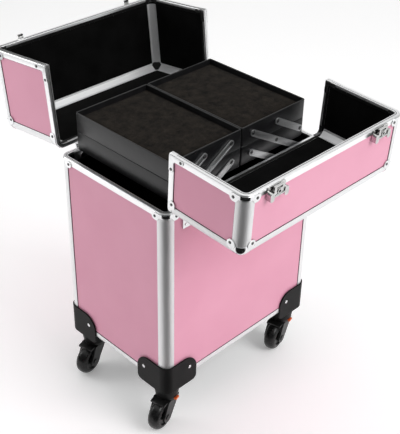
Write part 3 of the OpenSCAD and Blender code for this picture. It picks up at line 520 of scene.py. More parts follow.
def edge_bar(shape, corner, a, b, along, start, end):
    """Profile along a box edge through corner; a and b point inwards along the edge's two faces."""
    corner, a, b, along = Vector(corner), Vector(a), Vector(b), Vector(along)
    rings = [[corner + a * p.x + b * p.y + along * t for p in EDGE] for t in (start, end)]
    shape.sweep(rings, dark=EDGE_SHADE_SIDES)


def base_edges():
    shape = Shape()
    top = Z_RIM - Z_BASE - RAIL_H
    for x in SIDES:
        for y in SIDES:
            edge_bar(shape, (x * HALF_W, y * HALF_D, Z_BASE), (-x, 0, 0), (0, -y, 0), Z_AXIS, COVER, top)
        edge_bar(shape, (x * HALF_W, 0, Z_BASE), (-x, 0, 0), Z_AXIS, Y_AXIS, COVER - HALF_D, HALF_D - COVER)
    for y in SIDES:
        edge_bar(shape, (0, y * HALF_D, Z_BASE), (0, -y, 0), Z_AXIS, X_AXIS, COVER - HALF_W, HALF_W - COVER)
    shape.make("base_profiles", "base", [SATIN, BLACK], ["base_edge_profiles"])


def lid_edges(lid):
    place, depth = LIDS[lid]
    shape = Shape(place)
    for x in SIDES:
        edge_bar(shape, (x * HALF_W, 0, 0), (-x, 0, 0), Y_AXIS, Z_AXIS, RAIL_H, LID_H - COVER)
        edge_bar(shape, (x * HALF_W, 0, LID_H), (-x, 0, 0), Z_DOWN, Y_AXIS, COVER, depth - RAIL_H)
    edge_bar(shape, (0, 0, LID_H), Y_AXIS, Z_DOWN, X_AXIS, COVER - HALF_W, HALF_W - COVER)
    shape.make(lid + "_profiles", lid, [SATIN, BLACK], [lid + "_edge_profiles"])


# Rim rails: a channel over the panels' edges, with painted shade in the groove on its closed side and on the bead
# along its lip, and dark low on its inner leg


GROOVE_START, GROOVE_END = 4.6, 5.3
GROOVE_DEEP = 0.7
LEG_BARE = 4.5
NEAR = 0.1
RAIL = rounded([
    (0, 0, 0.3), (0, RAIL_H, 1.2),
    (GROOVE_START, RAIL_H, 0.2), (GROOVE_START, RAIL_H - GROOVE_DEEP, 0),
    (GROOVE_END, RAIL_H - GROOVE_DEEP, 0), (GROOVE_END, RAIL_H, 0.2),
    (WALL, RAIL_H, 0.8), (WALL, RAIL_H - LEG_BARE, 0), (WALL, 0, 0.3),
    (LIP + SLOT, 0, 0.2), (LIP + SLOT, RAIL_H - RAIL_TOP, 0), (LIP, RAIL_H - RAIL_TOP, 0),
    (LIP, -SHADE_LINE_W, 0), (LIP - SHADE_LINE_H, 0, 0),
])


def in_groove(p):
    return GROOVE_START - NEAR < p.x < GROOVE_END + NEAR and p.y > RAIL_H - 2 * GROOVE_DEEP


def low_on_leg(p):
    return p.x > WALL - NEAR and p.y < RAIL_H - LEG_BARE + 0.01


# Black sides: the bead and the groove as painted shade, and the low part of the inner leg
RAIL_SHADE_AND_LEG_SIDES = sides_where(RAIL, lambda p: p.y < -SHADE_LINE_W / 2, any)
RAIL_SHADE_AND_LEG_SIDES += sides_where(RAIL, in_groove) + sides_where(RAIL, low_on_leg)
CORNER_STEPS = 14


def corner_arc(x, y, r, start):
    turn = [radians(start + 90 * k / CORNER_STEPS) for k in range(CORNER_STEPS + 1)]
    return [Vector((x + r * cos(a), y + r * sin(a))) for a in turn]


def whole_loop(d):
    """The case's outline, moved inwards by d."""
    x, y, r = HALF_W - EDGE_R, HALF_D - EDGE_R, EDGE_R - d
    quarters = ((x, y, 0), (-x, y, 90), (-x, -y, 180), (x, -y, 270))
    return [p for cx, cy, start in quarters for p in corner_arc(cx, cy, r, start)]


def half_loop(d, reach):
    """One long side of the outline, moved inwards by d, with two legs of length reach."""
    x, r = HALF_W - EDGE_R, EDGE_R - d
    legs = [Vector((side * (HALF_W - d), reach)) for side in SIDES]
    return [legs[0]] + corner_arc(-x, EDGE_R, r, 180) + corner_arc(x, EDGE_R, r, 270) + [legs[1]]


def rail(shape, line, lift, closed=False):
    """Channel swept along line(inset); lift gives the place of a point of the line at a height."""
    lines = [line(p.x) for p in RAIL]
    rings = [[lift(lines[j][k], p.y) for j, p in enumerate(RAIL)] for k in range(len(lines[0]))]
    shape.sweep(rings, closed, dark=RAIL_SHADE_AND_LEG_SIDES)


def base_rail():
    shape = Shape()
    rail(shape, whole_loop, lambda p, h: Vector((p.x, p.y, Z_RIM - RAIL_H + h)), closed=True)
    shape.make("base_rim", "base", [BRIGHT, BLACK], ["base_rim_rail"])


# Plugs in the ends of a lid's rail: how far below the rail's end they start and stop, and their rounding
PLUG_START, PLUG_STOP = 0.05, RAIL_TOP - 0.1
PLUG_GAP = 0.2
PLUG_R = 0.4
PLUG_SOFT = 0.2


def lid_rails(lid):
    """The rail that meets the base, with plugs in its ends, and the rail that meets the other lid half."""
    place, depth = LIDS[lid]
    shape = Shape(place)
    rail(shape, lambda d: half_loop(d, depth), lambda p, h: Vector((p.x, p.y, RAIL_H - h)))
    rail(shape, lambda d: half_loop(d, LID_H - RAIL_H),
         lambda p, h: Vector((p.x, depth - RAIL_H + h, LID_H - p.y)))
    plug = rectangle(SLOT, RAIL_H - 2 * PLUG_GAP, PLUG_R)
    for x in SIDES:
        end = corner_frame((x * (HALF_W - WALL / 2), depth, RAIL_H / 2), X_AXIS, Z_AXIS, Y_BACK)
        shape.slab(plug, PLUG_START, PLUG_STOP, PLUG_SOFT, end)
    shape.make(lid + "_rims", lid, [BRIGHT, BLACK], [lid + "_rails"])


# Corner fittings: straps round the rims' corners, ball caps on the lids' corners, and angles where rails meet


STRAP_DROP = 2
STRAP_MID = STRAP_DROP + BRACKET_H / 2
STRAP_EDGE = 0.25
STRAP_NECK = 6
STRAP_TIP = 0.4
STRAP_TRIM = 0.1
NECK_HALF = 8
NECK_BLEND = 6
ARC_HALF = EDGE_R * pi / 4
STRAP_END = ARC_HALF + BRACKET_L - EDGE_R


def bent(s, n):
    """Place, along the two faces of a corner, of a point s round from its middle and n outside it."""
    if abs(s) <= ARC_HALF:
        a = radians(225) + s / EDGE_R
        return EDGE_R + (EDGE_R + n) * cos(a), EDGE_R + (EDGE_R + n) * sin(a)
    reach = EDGE_R + abs(s) - ARC_HALF
    return (reach, -n) if s > 0 else (-n, reach)


def bent_band(shape, at, end, extent, low, high, slot=0, steps=48):
    """Band bent round a corner, from -end to end round its middle, and from low to high outside it.

    Its depth range below the rim is extent(s), for a point s round from the middle.
    """
    rings = []
    for k in range(steps + 1):
        s = -end + 2 * end * k / steps
        top, bottom = extent(s)
        e = min(STRAP_EDGE, (bottom - top) / 3)
        brink = high - e if high > low else high + e
        section = [(low, top), (brink, top), (high, top + e),
                   (high, bottom - e), (brink, bottom), (low, bottom)]
        rings.append([at @ Vector((*bent(s, n), z)) for n, z in section])
    shape.sweep(rings, slot=slot)


def strap_extent(s):
    """Depth range of a strap: a narrow neck over the round edge, and ears that end in a half round."""
    r = BRACKET_H / 2
    over = max(0.0, abs(s) - (STRAP_END - r))
    half = max(STRAP_TIP, sqrt(max(0.0, r * r - over * over)))
    t = min(1.0, max(0.0, (abs(s) - NECK_HALF) / NECK_BLEND))
    ear = t * t * (3 - 2 * t)
    bottom = STRAP_DROP + STRAP_NECK + ear * (STRAP_MID + half - STRAP_DROP - STRAP_NECK)
    return STRAP_DROP + ear * (STRAP_MID - half - STRAP_DROP), bottom


def strap(shape, at):
    """Bracket round a corner below a rim: a neck over the round edge, and two riveted ears.

    The frame's X and Y run inwards along the two faces, and its Z runs away from the rim.
    """
    bent_band(shape, at, STRAP_END - STRAP_TRIM, strap_extent, 0.0, PLATE_T, steps=64)
    rivet_at = BRACKET_L - BRACKET_H / 2
    # Rivet heads take the second slot: dark steel as painted shade on chrome heads
    shape.rivet(at @ facing((rivet_at, -PLATE_T, STRAP_MID), Y_BACK), slot=1)
    shape.rivet(at @ facing((-PLATE_T, rivet_at, STRAP_MID), (-1, 0, 0)), slot=1)


INNER_REACH = 21
INNER_DROP = 0.8
INNER_H = 6
INNER_SUNK = 0.1


def inner_strap(shape, at):
    """Dark plate bent round the inside of a rail's corner, in the frame of the strap outside."""
    end = ARC_HALF + INNER_REACH - EDGE_R
    depths = (INNER_DROP, INNER_DROP + INNER_H)
    bent_band(shape, at, end, lambda s: depths, INNER_SUNK - WALL, -WALL - PLATE_T, slot=1)


CAP_PROUD = 0.5
CAP_T = 1.2
CAP_STEPS = 14


def ball_cap():
    """Thin round cap over a box corner, from 0 to COVER along each edge."""
    bm = bmesh.new()
    spots = [COVER * k / CAP_STEPS for k in range(CAP_STEPS + 1)]
    for on_face in (lambda u, v: (0, u, v), lambda u, v: (v, 0, u), lambda u, v: (u, v, 0)):
        grid = []
        for u in spots:
            for v in spots:
                p = Vector(on_face(u, v))
                core = Vector((max(c, EDGE_R) for c in p))
                grid.append(bm.verts.new(core + (p - core).normalized() * (EDGE_R + CAP_PROUD)))
        fill_grid(bm, grid, CAP_STEPS, CAP_STEPS)
    bmesh.ops.remove_doubles(bm, verts=bm.verts, dist=WELD)
    bmesh.ops.recalc_face_normals(bm, faces=bm.faces)
    inside = Vector((COVER,) * 3)
    if sum(f.normal.dot(f.calc_center_median() - inside) for f in bm.faces) < 0:
        bmesh.ops.reverse_faces(bm, faces=bm.faces)
    bmesh.ops.solidify(bm, geom=bm.faces[:], thickness=CAP_T)
    return bm


EAR_AT = 19
EAR_R = 7.5
EAR_RIVET = 20.5
EAR_SEGMENTS = 40
PLATE_SOFT = 0.3


def ball_corner(shape, at):
    """Ball cap with a riveted ear on the end wall and on the top."""
    shape.bmesh(ball_cap(), at)
    turn = [2 * pi * k / EAR_SEGMENTS for k in range(EAR_SEGMENTS)]
    ear = [Vector((EAR_R * cos(a), EAR_R * sin(a))) for a in turn]
    shape.slab(ear, 0, PLATE_T, PLATE_SOFT, at @ facing((0, EAR_AT, EAR_AT), (-1, 0, 0)))
    shape.slab(ear, 0, PLATE_T, PLATE_SOFT, at @ facing((EAR_AT, EAR_AT, 0), Z_DOWN))
    # Rivet heads take the second slot: dark steel as painted shade on chrome heads
    shape.rivet(at @ facing((-PLATE_T, EAR_RIVET, EAR_RIVET), (-1, 0, 0)), slot=1)
    shape.rivet(at @ facing((EAR_RIVET, EAR_RIVET, -PLATE_T), Z_DOWN), slot=1)


TRIM_GROW = 1.4
TRIM_T = 1.6
TRIM_R = 1.2
TRIM_SOFT = 0.5


def corner_trim(shape, at):
    """Black cover inside a corner, over the ends of the three profiles' inner strips."""
    ends = [(COVER, INNER, WALL), (INNER, COVER, WALL), (WALL, COVER, INNER), (WALL, INNER, COVER),
            (INNER, WALL, COVER), (COVER, WALL, INNER)]
    middle = Vector((COVER + INNER + WALL,) * 3) / 3
    flat = facing(middle, (1, 1, 1))
    back = flat.inverted()
    outline = [(back @ Vector(p)).xy * TRIM_GROW for p in ends]
    if (outline[1] - outline[0]).cross(outline[2] - outline[1]) < 0:
        outline.reverse()
    cover = rounded([(p.x, p.y, TRIM_R) for p in outline])
    shape.slab(cover, -TRIM_T / 2, TRIM_T / 2, TRIM_SOFT, at @ flat, slot=2)


ANGLE_LEG = 9
INNER_LEG = 6.5
ANGLE_INSET = 0.5
ANGLE_HEEL_R = 2
ANGLE_CROOK_R = 3
ANGLE_TIP_FLAT = 0.1


def angle_plate(shape, at, leg, reach, slot=0):
    """Flat angle; the frame's X and Y run along its legs from their corner."""
    low, wide = ANGLE_INSET, ANGLE_INSET + leg
    tip = leg / 2 - ANGLE_TIP_FLAT
    outline = rounded([(low, low, ANGLE_HEEL_R), (reach, low, tip), (reach, wide, tip),
                       (wide, wide, ANGLE_CROOK_R), (wide, reach, tip), (low, reach, tip)])
    shape.slab(outline, 0, PLATE_T, PLATE_SOFT, at, slot)


def end_angle(shape, at):
    """Riveted angle plate where two rails meet."""
    angle_plate(shape, at, ANGLE_LEG, BRACKET_L)
    middle = ANGLE_INSET + ANGLE_LEG / 2
    # Rivet heads take the second slot: dark steel as painted shade on chrome heads
    for spot in ((BRACKET_L - middle, middle), (middle, BRACKET_L - middle)):
        shape.rivet(at @ Matrix.Translation((*spot, PLATE_T)), slot=1)


def base_fittings():
    shape = Shape()
    for x in SIDES:
        for y in SIDES:
            origin = (x * HALF_W, y * HALF_D, Z_RIM)
            strap(shape, corner_frame(origin, (-x, 0, 0), (0, -y, 0), Z_DOWN))
    shape.make("base_brackets", "base", [CHROME, DARK_STEEL_AND_SHADE], ["base_corner_brackets"])


def lid_fittings(lid):
    place, depth = LIDS[lid]
    shape = Shape(place)
    for x in SIDES:
        across = (-x, 0, 0)
        for rim_corner in (corner_frame((x * HALF_W, 0, 0), across, Y_AXIS, Z_AXIS),
                           corner_frame((x * HALF_W, depth, LID_H), across, Z_DOWN, Y_BACK)):
            strap(shape, rim_corner)
            inner_strap(shape, rim_corner)
        corner = corner_frame((x * HALF_W, 0, LID_H), across, Y_AXIS, Z_DOWN)
        ball_corner(shape, corner)
        corner_trim(shape, corner)
        end_angle(shape, corner_frame((x * HALF_W, depth, 0), Y_BACK, Z_AXIS, (x, 0, 0)))
        inner_end = corner_frame((x * (HALF_W - WALL), depth, 0), Y_BACK, Z_AXIS, across)
        angle_plate(shape, inner_end, INNER_LEG, INNER_REACH, slot=1)
    shape.make(lid + "_brackets", lid, [CHROME, DARK_STEEL_AND_SHADE, BLACK],
               [lid + "_corner_brackets"])


# Linings


LINER_T = 0.9
LINER_SHEET = 0.6 * LINER_T
LINER_WAVE = 0.1
WAVES_PER_MM = 0.03
LINER_CELL = 12
LINER_CREASE = 50
LINER_IN = PANEL_IN + PANEL_T
LINER_GAP = 0.05
LINER_EDGE = COVER + LINER_GAP
LINER_RAIL = RAIL_H + LINER_GAP


def lining(name, node, at, w, h):
    """Black cloth glued on a panel: w along the frame's X and h along its Y, facing along its Z."""
    across, up = max(4, round(w / LINER_CELL)), max(4, round(h / LINER_CELL))
    bm = bmesh.new()
    grid = []
    for j in range(up + 1):
        for i in range(across + 1):
            p = Vector((w * i / across, h * j / up, 0))
            edge = min(p.x, w - p.x, p.y, h - p.y)
            wave = LINER_WAVE * noise.noise(at @ p * WAVES_PER_MM) if edge > 0 else -LINER_WAVE
            grid.append(bm.verts.new(p + Vector((0, 0, LINER_T + wave - LINER_WAVE))))
    fill_grid(bm, grid, across, up)
    bmesh.ops.solidify(bm, geom=bm.faces[:], thickness=LINER_SHEET)
    shape = Shape()
    shape.bmesh(bm, at)
    piece = shape.make(name, BODY_OF[node], [LINING], [node], crease=LINER_CREASE)


def base_linings():
    w, d = CASE_W - 2 * LINER_EDGE, CASE_D - 2 * LINER_EDGE
    h = Z_RIM - Z_BASE - LINER_EDGE - LINER_RAIL
    low = Z_BASE + LINER_EDGE
    for name, y in (("front", -1), ("rear", 1)):
        at = corner_frame((y * w / 2, y * (HALF_D - LINER_IN), low), (-y, 0, 0), Z_AXIS, (0, -y, 0))
        lining("base_lining_" + name, "base_lining", at, w, h)
    for name, x in (("left", -1), ("right", 1)):
        at = corner_frame((x * (HALF_W - LINER_IN), -x * d / 2, low), (0, x, 0), Z_AXIS, (-x, 0, 0))
        lining("base_lining_" + name, "base_lining", at, d, h)
    at = corner_frame((-w / 2, -d / 2, Z_BASE + LINER_IN), X_AXIS, Y_AXIS, Z_AXIS)
    lining("base_lining_floor", "base_lining", at, w, d)


def lid_linings(lid):
    place, depth = LIDS[lid]
    node = lid + "_lining"
    w, d, h = CASE_W - 2 * LINER_EDGE, depth - LINER_EDGE - LINER_RAIL, LID_H - LINER_EDGE - LINER_RAIL
    back = corner_frame((-w / 2, LINER_IN, LINER_RAIL), X_AXIS, Z_AXIS, Y_AXIS)
    top = corner_frame((-w / 2, LINER_EDGE, LID_H - LINER_IN), X_AXIS, Y_AXIS, Z_DOWN)
    lining(node + "_back", node, place @ back, w, h)
    lining(node + "_top", node, place @ top, w, d)
    for name, x in (("left", -1), ("right", 1)):
        end = corner_frame((x * (HALF_W - LINER_IN), LINER_EDGE, LINER_RAIL), Y_AXIS, Z_AXIS, (-x, 0, 0))
        lining(node + "_" + name, node, place @ end, d, h)


# Trays and mats


TRAY_T = 2.2
TRAY_R = 3
TRAY_SOFT = 0.8


def tray(node):
    """Open tray with a rounded rim and a coved floor."""
    low, high = box_mm(node)
    size, middle = high - low, (low + high) / 2
    t, s, h = TRAY_T, TRAY_SOFT, size.z
    arc = [radians(90 * k / 4) for k in range(5)]
    levels = [(s * (1 - sin(a)), s * (1 - cos(a))) for a in arc]
    levels += [(s * (1 - cos(a)), h - s * (1 - sin(a))) for a in arc]
    levels += [(t - s * (1 - sin(a)), h - s * (1 - cos(a))) for a in arc]
    levels += [(t + 2 * s * (1 - cos(a)), t + 2 * s * (1 - sin(a))) for a in arc]
    shape = Shape()
    at = Matrix.Translation((middle.x, middle.y, low.z))
    shape.stack(rectangle(size.x, size.y, TRAY_R), levels, at)
    shape.make(node + "_finished", BODY_OF[node], [TRAY], [node])


MAT_CROWN = 0.9
# The top falls by MAT_EDGE at its sides, with this power of the share of the way out to them
MAT_EDGE = 1.6
MAT_FALL = 14
MAT_NAP = 0.35
NAP_PER_MM = 0.035
MAT_CELL = 6
MAT_CREASE = 75
# Rings down a mat's side: the share of the top's height, and by how much the longer side is shortened
MAT_SIDE = ((0.75, 0.0), (0.45, 0.5), (0.12, 0.1), (0.0, 0.6))


def mat(node):
    """Felt pad that lies on its flat underside, crowned on top and drawn in a little along its sides."""
    low, high = box_mm(node)
    size, middle = high - low, (low + high) / 2
    across, along = round(size.x / MAT_CELL), round(size.y / MAT_CELL)
    bm = bmesh.new()
    grid = []
    for j in range(along + 1):
        for i in range(across + 1):
            u, v = 2 * i / across - 1, 2 * j / along - 1
            p = Vector((u * size.x / 2, v * size.y / 2, 0))
            fall = MAT_EDGE * max(abs(u) ** MAT_FALL, abs(v) ** MAT_FALL)
            swell = MAT_CROWN * (1 - u * u) * (1 - v * v)
            nap = MAT_NAP * noise.noise((middle + p) * NAP_PER_MM)
            grid.append(bm.verts.new(p + Vector((0, 0, size.z - MAT_CROWN - fall + swell + nap))))
    fill_grid(bm, grid, across, along)
    n = across + 1
    rim = [grid[i] for i in range(n)] + [grid[j * n + across] for j in range(1, along + 1)]
    rim += [grid[along * n + i] for i in range(across - 1, -1, -1)]
    rim += [grid[j * n] for j in range(along - 1, 0, -1)]
    last = rim
    for share, pull in MAT_SIDE:
        inwards = 1 - pull / max(size.x, size.y)
        ring = [bm.verts.new((v.co.x * inwards, v.co.y * inwards, v.co.z * share)) for v in rim]
        for k in range(len(rim)):
            k1 = (k + 1) % len(rim)
            bm.faces.new((last[k], ring[k], ring[k1], last[k1]))
        last = ring
    bm.faces.new(list(reversed(last)))
    shape = Shape()
    shape.bmesh(bm, Matrix.Translation((middle.x, middle.y, low.z)))
    piece = shape.make(node + "_felt", BODY_OF[node], [FELT], [node], crease=MAT_CREASE)


# Arms that carry the trays


ARM_W = 11
ARM_T = 2
ARM_RIM = 1.7
ARM_FLOOR = ARM_T - 0.6
ARM_GAP = 0.5
PLATE_REACH = 5.1
# Insets and heights across an arm: a rounded edge, a flat rim and a pressed floor
ARM_LEVELS = [
    (0.4, 0), (0.1, 0.1), (0, 0.4), (0, ARM_T - 0.4), (0.1, ARM_T - 0.1), (0.4, ARM_T),
    (ARM_RIM, ARM_T), (ARM_RIM + 0.25, ARM_T - 0.1), (ARM_RIM + 0.5, ARM_FLOOR),
]
PIVOT_R = 2.5
# Radii of a pivot's head, and heights above the pressed floor
PIVOT_HEAD = [(3.4, -0.1), (3.4, 0.25), (2.9, 0.5), (2.3, 0.5), (2.1, 0.9), (1.5, 1.25), (0.6, 1.4)]
STUD_R = 4.2
STUD_TIP = 2.2


def arm(shape, start, end, side, face, pivots):
    """Pressed arm from start to end, in (x, z); side is -1 for the front, and face is how far out it lies.

    Each pivot is its share of the length, how far it reaches inwards, and how far outwards.
    """
    along = end - start
    length = along.length
    half = ARM_W / 2
    x = Vector((along.x, 0, along.y)) / length
    z = Vector((0, side, 0))
    at = corner_frame((start.x, side * face, start.y), x, z.cross(x), z)
    shape.stack(box_outline(-half, -half, length + half, half, half - 0.01), ARM_LEVELS, at)
    for share, inner, outer in pivots:
        spot = at @ Matrix.Translation((length * share, 0, 0))
        shape.lathe([(PIVOT_R, -inner), (PIVOT_R, ARM_T / 2)], spot, slot=1)
        shape.lathe([(r, ARM_FLOOR + h) for r, h in PIVOT_HEAD], spot, slot=1)
        if outer:
            tip = ARM_T + outer
            shape.lathe([(STUD_R, ARM_T - 0.2), (STUD_R, tip - STUD_TIP), (PIVOT_R, tip - STUD_TIP + 0.1),
                         (PIVOT_R, tip)], spot)


def joint_spot(name):
    """Place of a hinge in (x, z)."""
    x, _, z = Vector(JOINTS[name]["pos_m"]) / MM
    return Vector((x, z))


def arms(column):
    """The three kinds of arm on both sides of a column of trays."""
    face = box_mm(column + "_lower_tray")[1].y + ARM_GAP
    swing, low = joint_spot(column + "_tray_swing"), joint_spot(column + "_lower_tray_level")
    top = joint_spot(column + "_upper_tray_level")
    lower, upper = joint_spot(column + "_lower_arm_swing"), joint_spot(column + "_upper_arm_swing")
    rise = low - swing
    pin = ARM_GAP + TRAY_T
    sets = {
        "_long_arms": (swing, top, [(0, 0, PLATE_REACH), (0.5, pin, 0), (1, pin, 0)]),
        "_lower_arms": (lower, lower + rise, [(0, 0, PLATE_REACH), (1, pin, 0)]),
        "_upper_arms": (upper, upper + rise, [(0, pin, 0), (1, pin, 0)]),
    }
    for name, (start, end, pivots) in sets.items():
        shape = Shape()
        for side in SIDES:
            arm(shape, start, end, side, face, pivots)
        node = column + name
        shape.make(node + "_finished", BODY_OF[node], [ZINC, DARK_STEEL_AND_SHADE], [node])


# Casters


WHEEL_HALF = 11
WHEEL_R = 27
TREAD_R = 9.4
WHEEL_CREASE = 40
# Radii on a wheel's side, and depths below its face: a step down to a disc, a hub, and the axle's bore
WHEEL_SIDE = [
    (16.9, 0.1), (16.4, 0.5), (16.2, 2.6), (15.6, 3), (8.8, 3), (8.2, 2.7), (7.9, 0.6), (7.4, 0.2),
    (3.3, 0.2), (3.1, 0.6),
]


def wheel(corner):
    """Fat wheel with a crowned tread, a stepped side and a hub."""
    joint = JOINTS["roll_" + corner]
    at = facing(Vector(joint["pos_m"]) / MM, joint["axis"])
    turn = [radians(a) for a in range(0, 91, 9)]
    side = [(WHEEL_R - TREAD_R + TREAD_R * cos(a), WHEEL_HALF - TREAD_R + TREAD_R * sin(a)) for a in turn]
    side += [(r, WHEEL_HALF - depth) for r, depth in WHEEL_SIDE]
    profile = [(WHEEL_R, 0.0)] + side + [(r, -h) for r, h in reversed(side)]
    shape = Shape()
    shape.lathe(profile, at, closed=True, segments=72)
    node = "caster_wheel_" + corner
    shape.make(node + "_finished", "wheel_" + corner, [RUBBER], [node], crease=WHEEL_CREASE)


# Rivets of the hinge leaves and of the corner guards, as the CAD places them


HINGE_W = 28
HINGE_X = box_mm("hinge_pins")[1].x - HINGE_W / 2
LEAF_T = 1.2
LEAF_RIVET_X = 8
LEAF_RIVET_DROP = 30.7
GUARD_T = 2.5
GUARD_RIVET_ALONG = 50
GUARD_RIVET_UP = 26
GUARD_RIVET_R = 3.2
GUARD_RIVET_H = 1.2


def base_rivets():
    shape = Shape()
    for x in SIDES:
        for y in SIDES:
            for side in SIDES:
                spot = (x * HINGE_X + side * LEAF_RIVET_X, y * (HALF_D + LEAF_T), Z_RIM - LEAF_RIVET_DROP)
                shape.rivet(facing(spot, (0, y, 0)))
            at = corner_frame((x * HALF_W, y * HALF_D, Z_BASE), (-x, 0, 0), (0, -y, 0), Z_AXIS)
            for head in (facing((GUARD_RIVET_ALONG, -GUARD_T, GUARD_RIVET_UP), Y_BACK),
                         facing((-GUARD_T, GUARD_RIVET_ALONG, GUARD_RIVET_UP), (-1, 0, 0))):
                shape.rivet(at @ head, GUARD_RIVET_R, GUARD_RIVET_H)
    shape.make("base_rivets_finished", "base", [CHROME], ["base_rivets"])


# Latches


LATCH_X = 113
KEY_FROM_SPLIT = 10
KEY_UP = 5.5
KEY_SOCKET = [(2.15, 0), (2.15, 1.3), (1.9, 1.5), (0.9, 1.5), (0.7, 0.6)]


def shaded_key_socket(latch, x):
    """Key socket in a latch lever, black all over as painted shade for the dark of the key hole."""
    place, depth = LIDS["front_lid"]
    shape = Shape(place)
    at = Matrix.Translation((x, depth - KEY_FROM_SPLIT, LID_H + KEY_UP))
    shape.lathe(KEY_SOCKET, at, segments=32)
    shape.make(latch + "_shaded_key_socket", latch, [BLACK])


# Everything on the object


for name in ("base_front_panel", "base_rear_panel", "base_left_panel", "base_right_panel",
             "front_lid_panels", "rear_lid_panels"):
    finish_node(name, PINK)
finish_node("base_bottom_panel", BOARD)
for name in ("trolley_outer_tubes", "trolley_middle_tubes", "trolley_inner_tubes"):
    finish_node(name, TUBE)
finish_node("hinge_pins", CHROME)

base_edges()
base_rail()
base_fittings()
base_linings()
base_rivets()
for name in LIDS:
    lid_edges(name)
    lid_rails(name)
    lid_fittings(name)
    lid_linings(name)
for name in ("near", "far"):
    tray(name + "_lower_tray")
    tray(name + "_upper_tray")
    mat(name + "_upper_mat")
    arms(name)
for name in ("front_left", "front_right", "rear_left", "rear_right"):
    soften("caster_fork_" + name, GLOSSY, width=1.0)
    wheel(name)
for name in ("front_left", "front_right"):
    soften("brake_lever_" + name, ORANGE, width=0.4)
soften("caster_corner_guards", BLACK, width=0.7)
soften("tray_arm_plates", ZINC, width=0.3)
for name in ("hinge_base_leaves", "front_lid_hinge_leaves", "rear_lid_hinge_leaves",
             "carry_handle_brackets"):
    soften(name, CHROME, width=0.3)
for name in ("latch_plates", "latch_lever_left", "latch_lever_right", "latch_catches"):
    soften(name, NICKEL, width=0.3)
for name, x in (("left_latch", -1), ("right_latch", 1)):
    shaded_key_socket(name, x * LATCH_X)
soften("carry_handle", BLACK, width=1.0)
soften("trolley_brackets", BLACK, width=1.2)
soften("trolley_grip", BLACK, width=2.0, hollows=False)
soften("trolley_button", GREY, width=0.8)


# Floor, light and camera


WORLD_LIGHT = 0.1
FLOOR_GLOW = 0.22
FLOOR_TONE = 0.96
FLOOR_HALF = 60.0
# Dark card in front of the case: a fan round its own origin, in metres
CARD_NEAR = 0.06
CARD_FAR = 3.0
CARD_SPREAD = radians(54)
CARD_SOLID = 0.8
CARD_STEPS = 16
CARD_PLACE = (-0.12, -0.17, 0.002)
CARD_TURN = radians(224.5)


def floor_material():
    """White floor with a slight glow of its own."""
    f = Finish("floor", Specular_IOR_Level=0.0, Emission_Strength=FLOOR_GLOW)
    cloud = f.noise(2)
    f.colour(cloud, dark=grey(FLOOR_TONE), light=grey(FLOOR_TONE + 0.005))
    f.roughness(cloud, low=0.6, high=0.7)
    return f.material


def card_material():
    """Dark card that fades out sideways, by the angle round its own origin."""
    f = Finish("dark_card", Specular_IOR_Level=0.0)
    cloud = f.noise(2)
    f.colour(cloud, dark=grey(0.014), light=grey(0.018))
    f.roughness(cloud, low=0.8, high=0.9)
    fan = f.node("TexGradient")
    fan.gradient_type = "RADIAL"
    f.link(f.node("TexCoord").outputs["Object"], fan.inputs["Vector"])
    fade = f.node("ValToRGB")
    fade.color_ramp.interpolation = "EASE"
    stops = fade.color_ramp.elements
    share = CARD_SPREAD / (2 * pi)
    for stop, side in zip(stops, SIDES):
        stop.position = 0.5 + side * share
        stop.color = (0, 0, 0, 1)
    for side in SIDES:
        stops.new(0.5 + side * CARD_SOLID * share).color = (1, 1, 1, 1)
    f.link(fan.outputs["Fac"], fade.inputs["Fac"])
    f.link(fade.outputs["Color"], f.shader.inputs["Alpha"])
    return f.material


def stage_sheet(name, corners, material):
    """Flat sheet of the studio, which isn't part of the object."""
    mesh = bpy.data.meshes.new(name)
    mesh.from_pydata(corners, [], [tuple(range(len(corners)))])
    mesh.materials.append(material)
    made = bpy.data.objects.new(name, mesh)
    bpy.context.scene.collection.objects.link(made)
    return made


def dark_card():
    """Dark ground in front of the case that only reflections show, as in a studio behind the camera."""
    turn = [CARD_SPREAD * (2 * k / CARD_STEPS - 1) for k in range(CARD_STEPS + 1)]
    outer = [(CARD_FAR * cos(a), CARD_FAR * sin(a), 0) for a in turn]
    inner = [(CARD_NEAR * cos(a), CARD_NEAR * sin(a), 0) for a in reversed(turn)]
    card = stage_sheet("dark_card", outer + inner, card_material())
    card.location = CARD_PLACE
    card.rotation_euler.z = CARD_TURN
    card.visible_camera = False
    card.visible_diffuse = False
    card.visible_shadow = False
    card.visible_transmission = False


def softbox(name, place, aim, size, watts, in_reflections=True):
    data = bpy.data.lights.new(name, "AREA")
    data.shape = "RECTANGLE"
    data.size, data.size_y = size
    data.energy = watts
    made = bpy.data.objects.new(name, data)
    made.location = place
    made.rotation_mode = "QUATERNION"
    made.rotation_quaternion = (Vector(aim) - Vector(place)).to_track_quat("-Z", "Y")
    made.visible_camera = False
    made.visible_glossy = in_reflections
    bpy.context.scene.collection.objects.link(made)


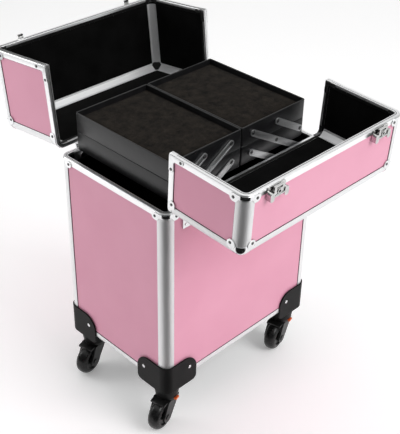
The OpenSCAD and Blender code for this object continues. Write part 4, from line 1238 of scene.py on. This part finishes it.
def studio_world():
    """Even light from all round; where the camera sees it, it has the grey of the far floor."""
    world = bpy.data.worlds.new("studio")
    world.use_nodes = True
    nodes, links = world.node_tree.nodes, world.node_tree.links
    level = nodes.new("ShaderNodeMapRange")
    level.inputs["To Min"].default_value = WORLD_LIGHT
    level.inputs["To Max"].default_value = FLOOR_GLOW + FLOOR_TONE * WORLD_LIGHT
    nodes["Background"].inputs["Color"].default_value = (1, 1, 1, 1)
    links.new(nodes.new("ShaderNodeLightPath").outputs["Is Camera Ray"], level.inputs["Value"])
    links.new(level.outputs["Result"], nodes["Background"].inputs["Strength"])
    bpy.context.scene.world = world


floor_corners = [(x * FLOOR_HALF, y * FLOOR_HALF, 0) for x, y in ((-1, -1), (1, -1), (1, 1), (-1, 1))]
stage_sheet("floor", floor_corners, floor_material())
dark_card()

softbox("key", (0.6, -2.3, 2.0), aim=(0, 0, 0.3), size=(1.8, 1.8), watts=49)
softbox("fill", (-0.8, 1.0, 0.75), aim=(-0.1, 0.1, 0.35), size=(0.6, 0.6), watts=4.6)
softbox("rear_top", (1.3, 1.3, 2.6), aim=(1.3, 1.3, 0), size=(6.0, 4.0), watts=68)
softbox("front_top", (1.3, -1.7, 2.6), aim=(1.3, -1.7, 0), size=(6.0, 2.0), watts=12)
softbox("front_top_diffuse", (1.3, -1.7, 2.6), aim=(1.3, -1.7, 0), size=(6.0, 2.0), watts=22,
        in_reflections=False)
studio_world()
bpy.context.scene.view_settings.view_transform = "Standard"

# Camera, found from the box corners of the case in the photograph
CAMERA_AZIMUTH = radians(-45.515)
CAMERA_ELEVATION = radians(33.773)
CAMERA_ROLL = radians(1.154)
CAMERA_PLACE = (-0.9050, -0.9104, 1.1568)
CAMERA_LENS = 76.65

camera = bpy.data.objects.new("camera", bpy.data.cameras.new("camera"))
camera.data.lens = CAMERA_LENS
camera.data.clip_start = 0.05
level_back = Vector((sin(CAMERA_AZIMUTH), -cos(CAMERA_AZIMUTH), 0))
back = level_back * cos(CAMERA_ELEVATION) + Vector(Z_AXIS) * sin(CAMERA_ELEVATION)
right = Vector((cos(CAMERA_AZIMUTH), sin(CAMERA_AZIMUTH), 0))
tilted_right = right * cos(CAMERA_ROLL) + back.cross(right) * sin(CAMERA_ROLL)
camera.matrix_world = corner_frame(CAMERA_PLACE, tilted_right, back.cross(tilted_right), back)
bpy.context.scene.collection.objects.link(camera)
bpy.context.scene.camera = camera
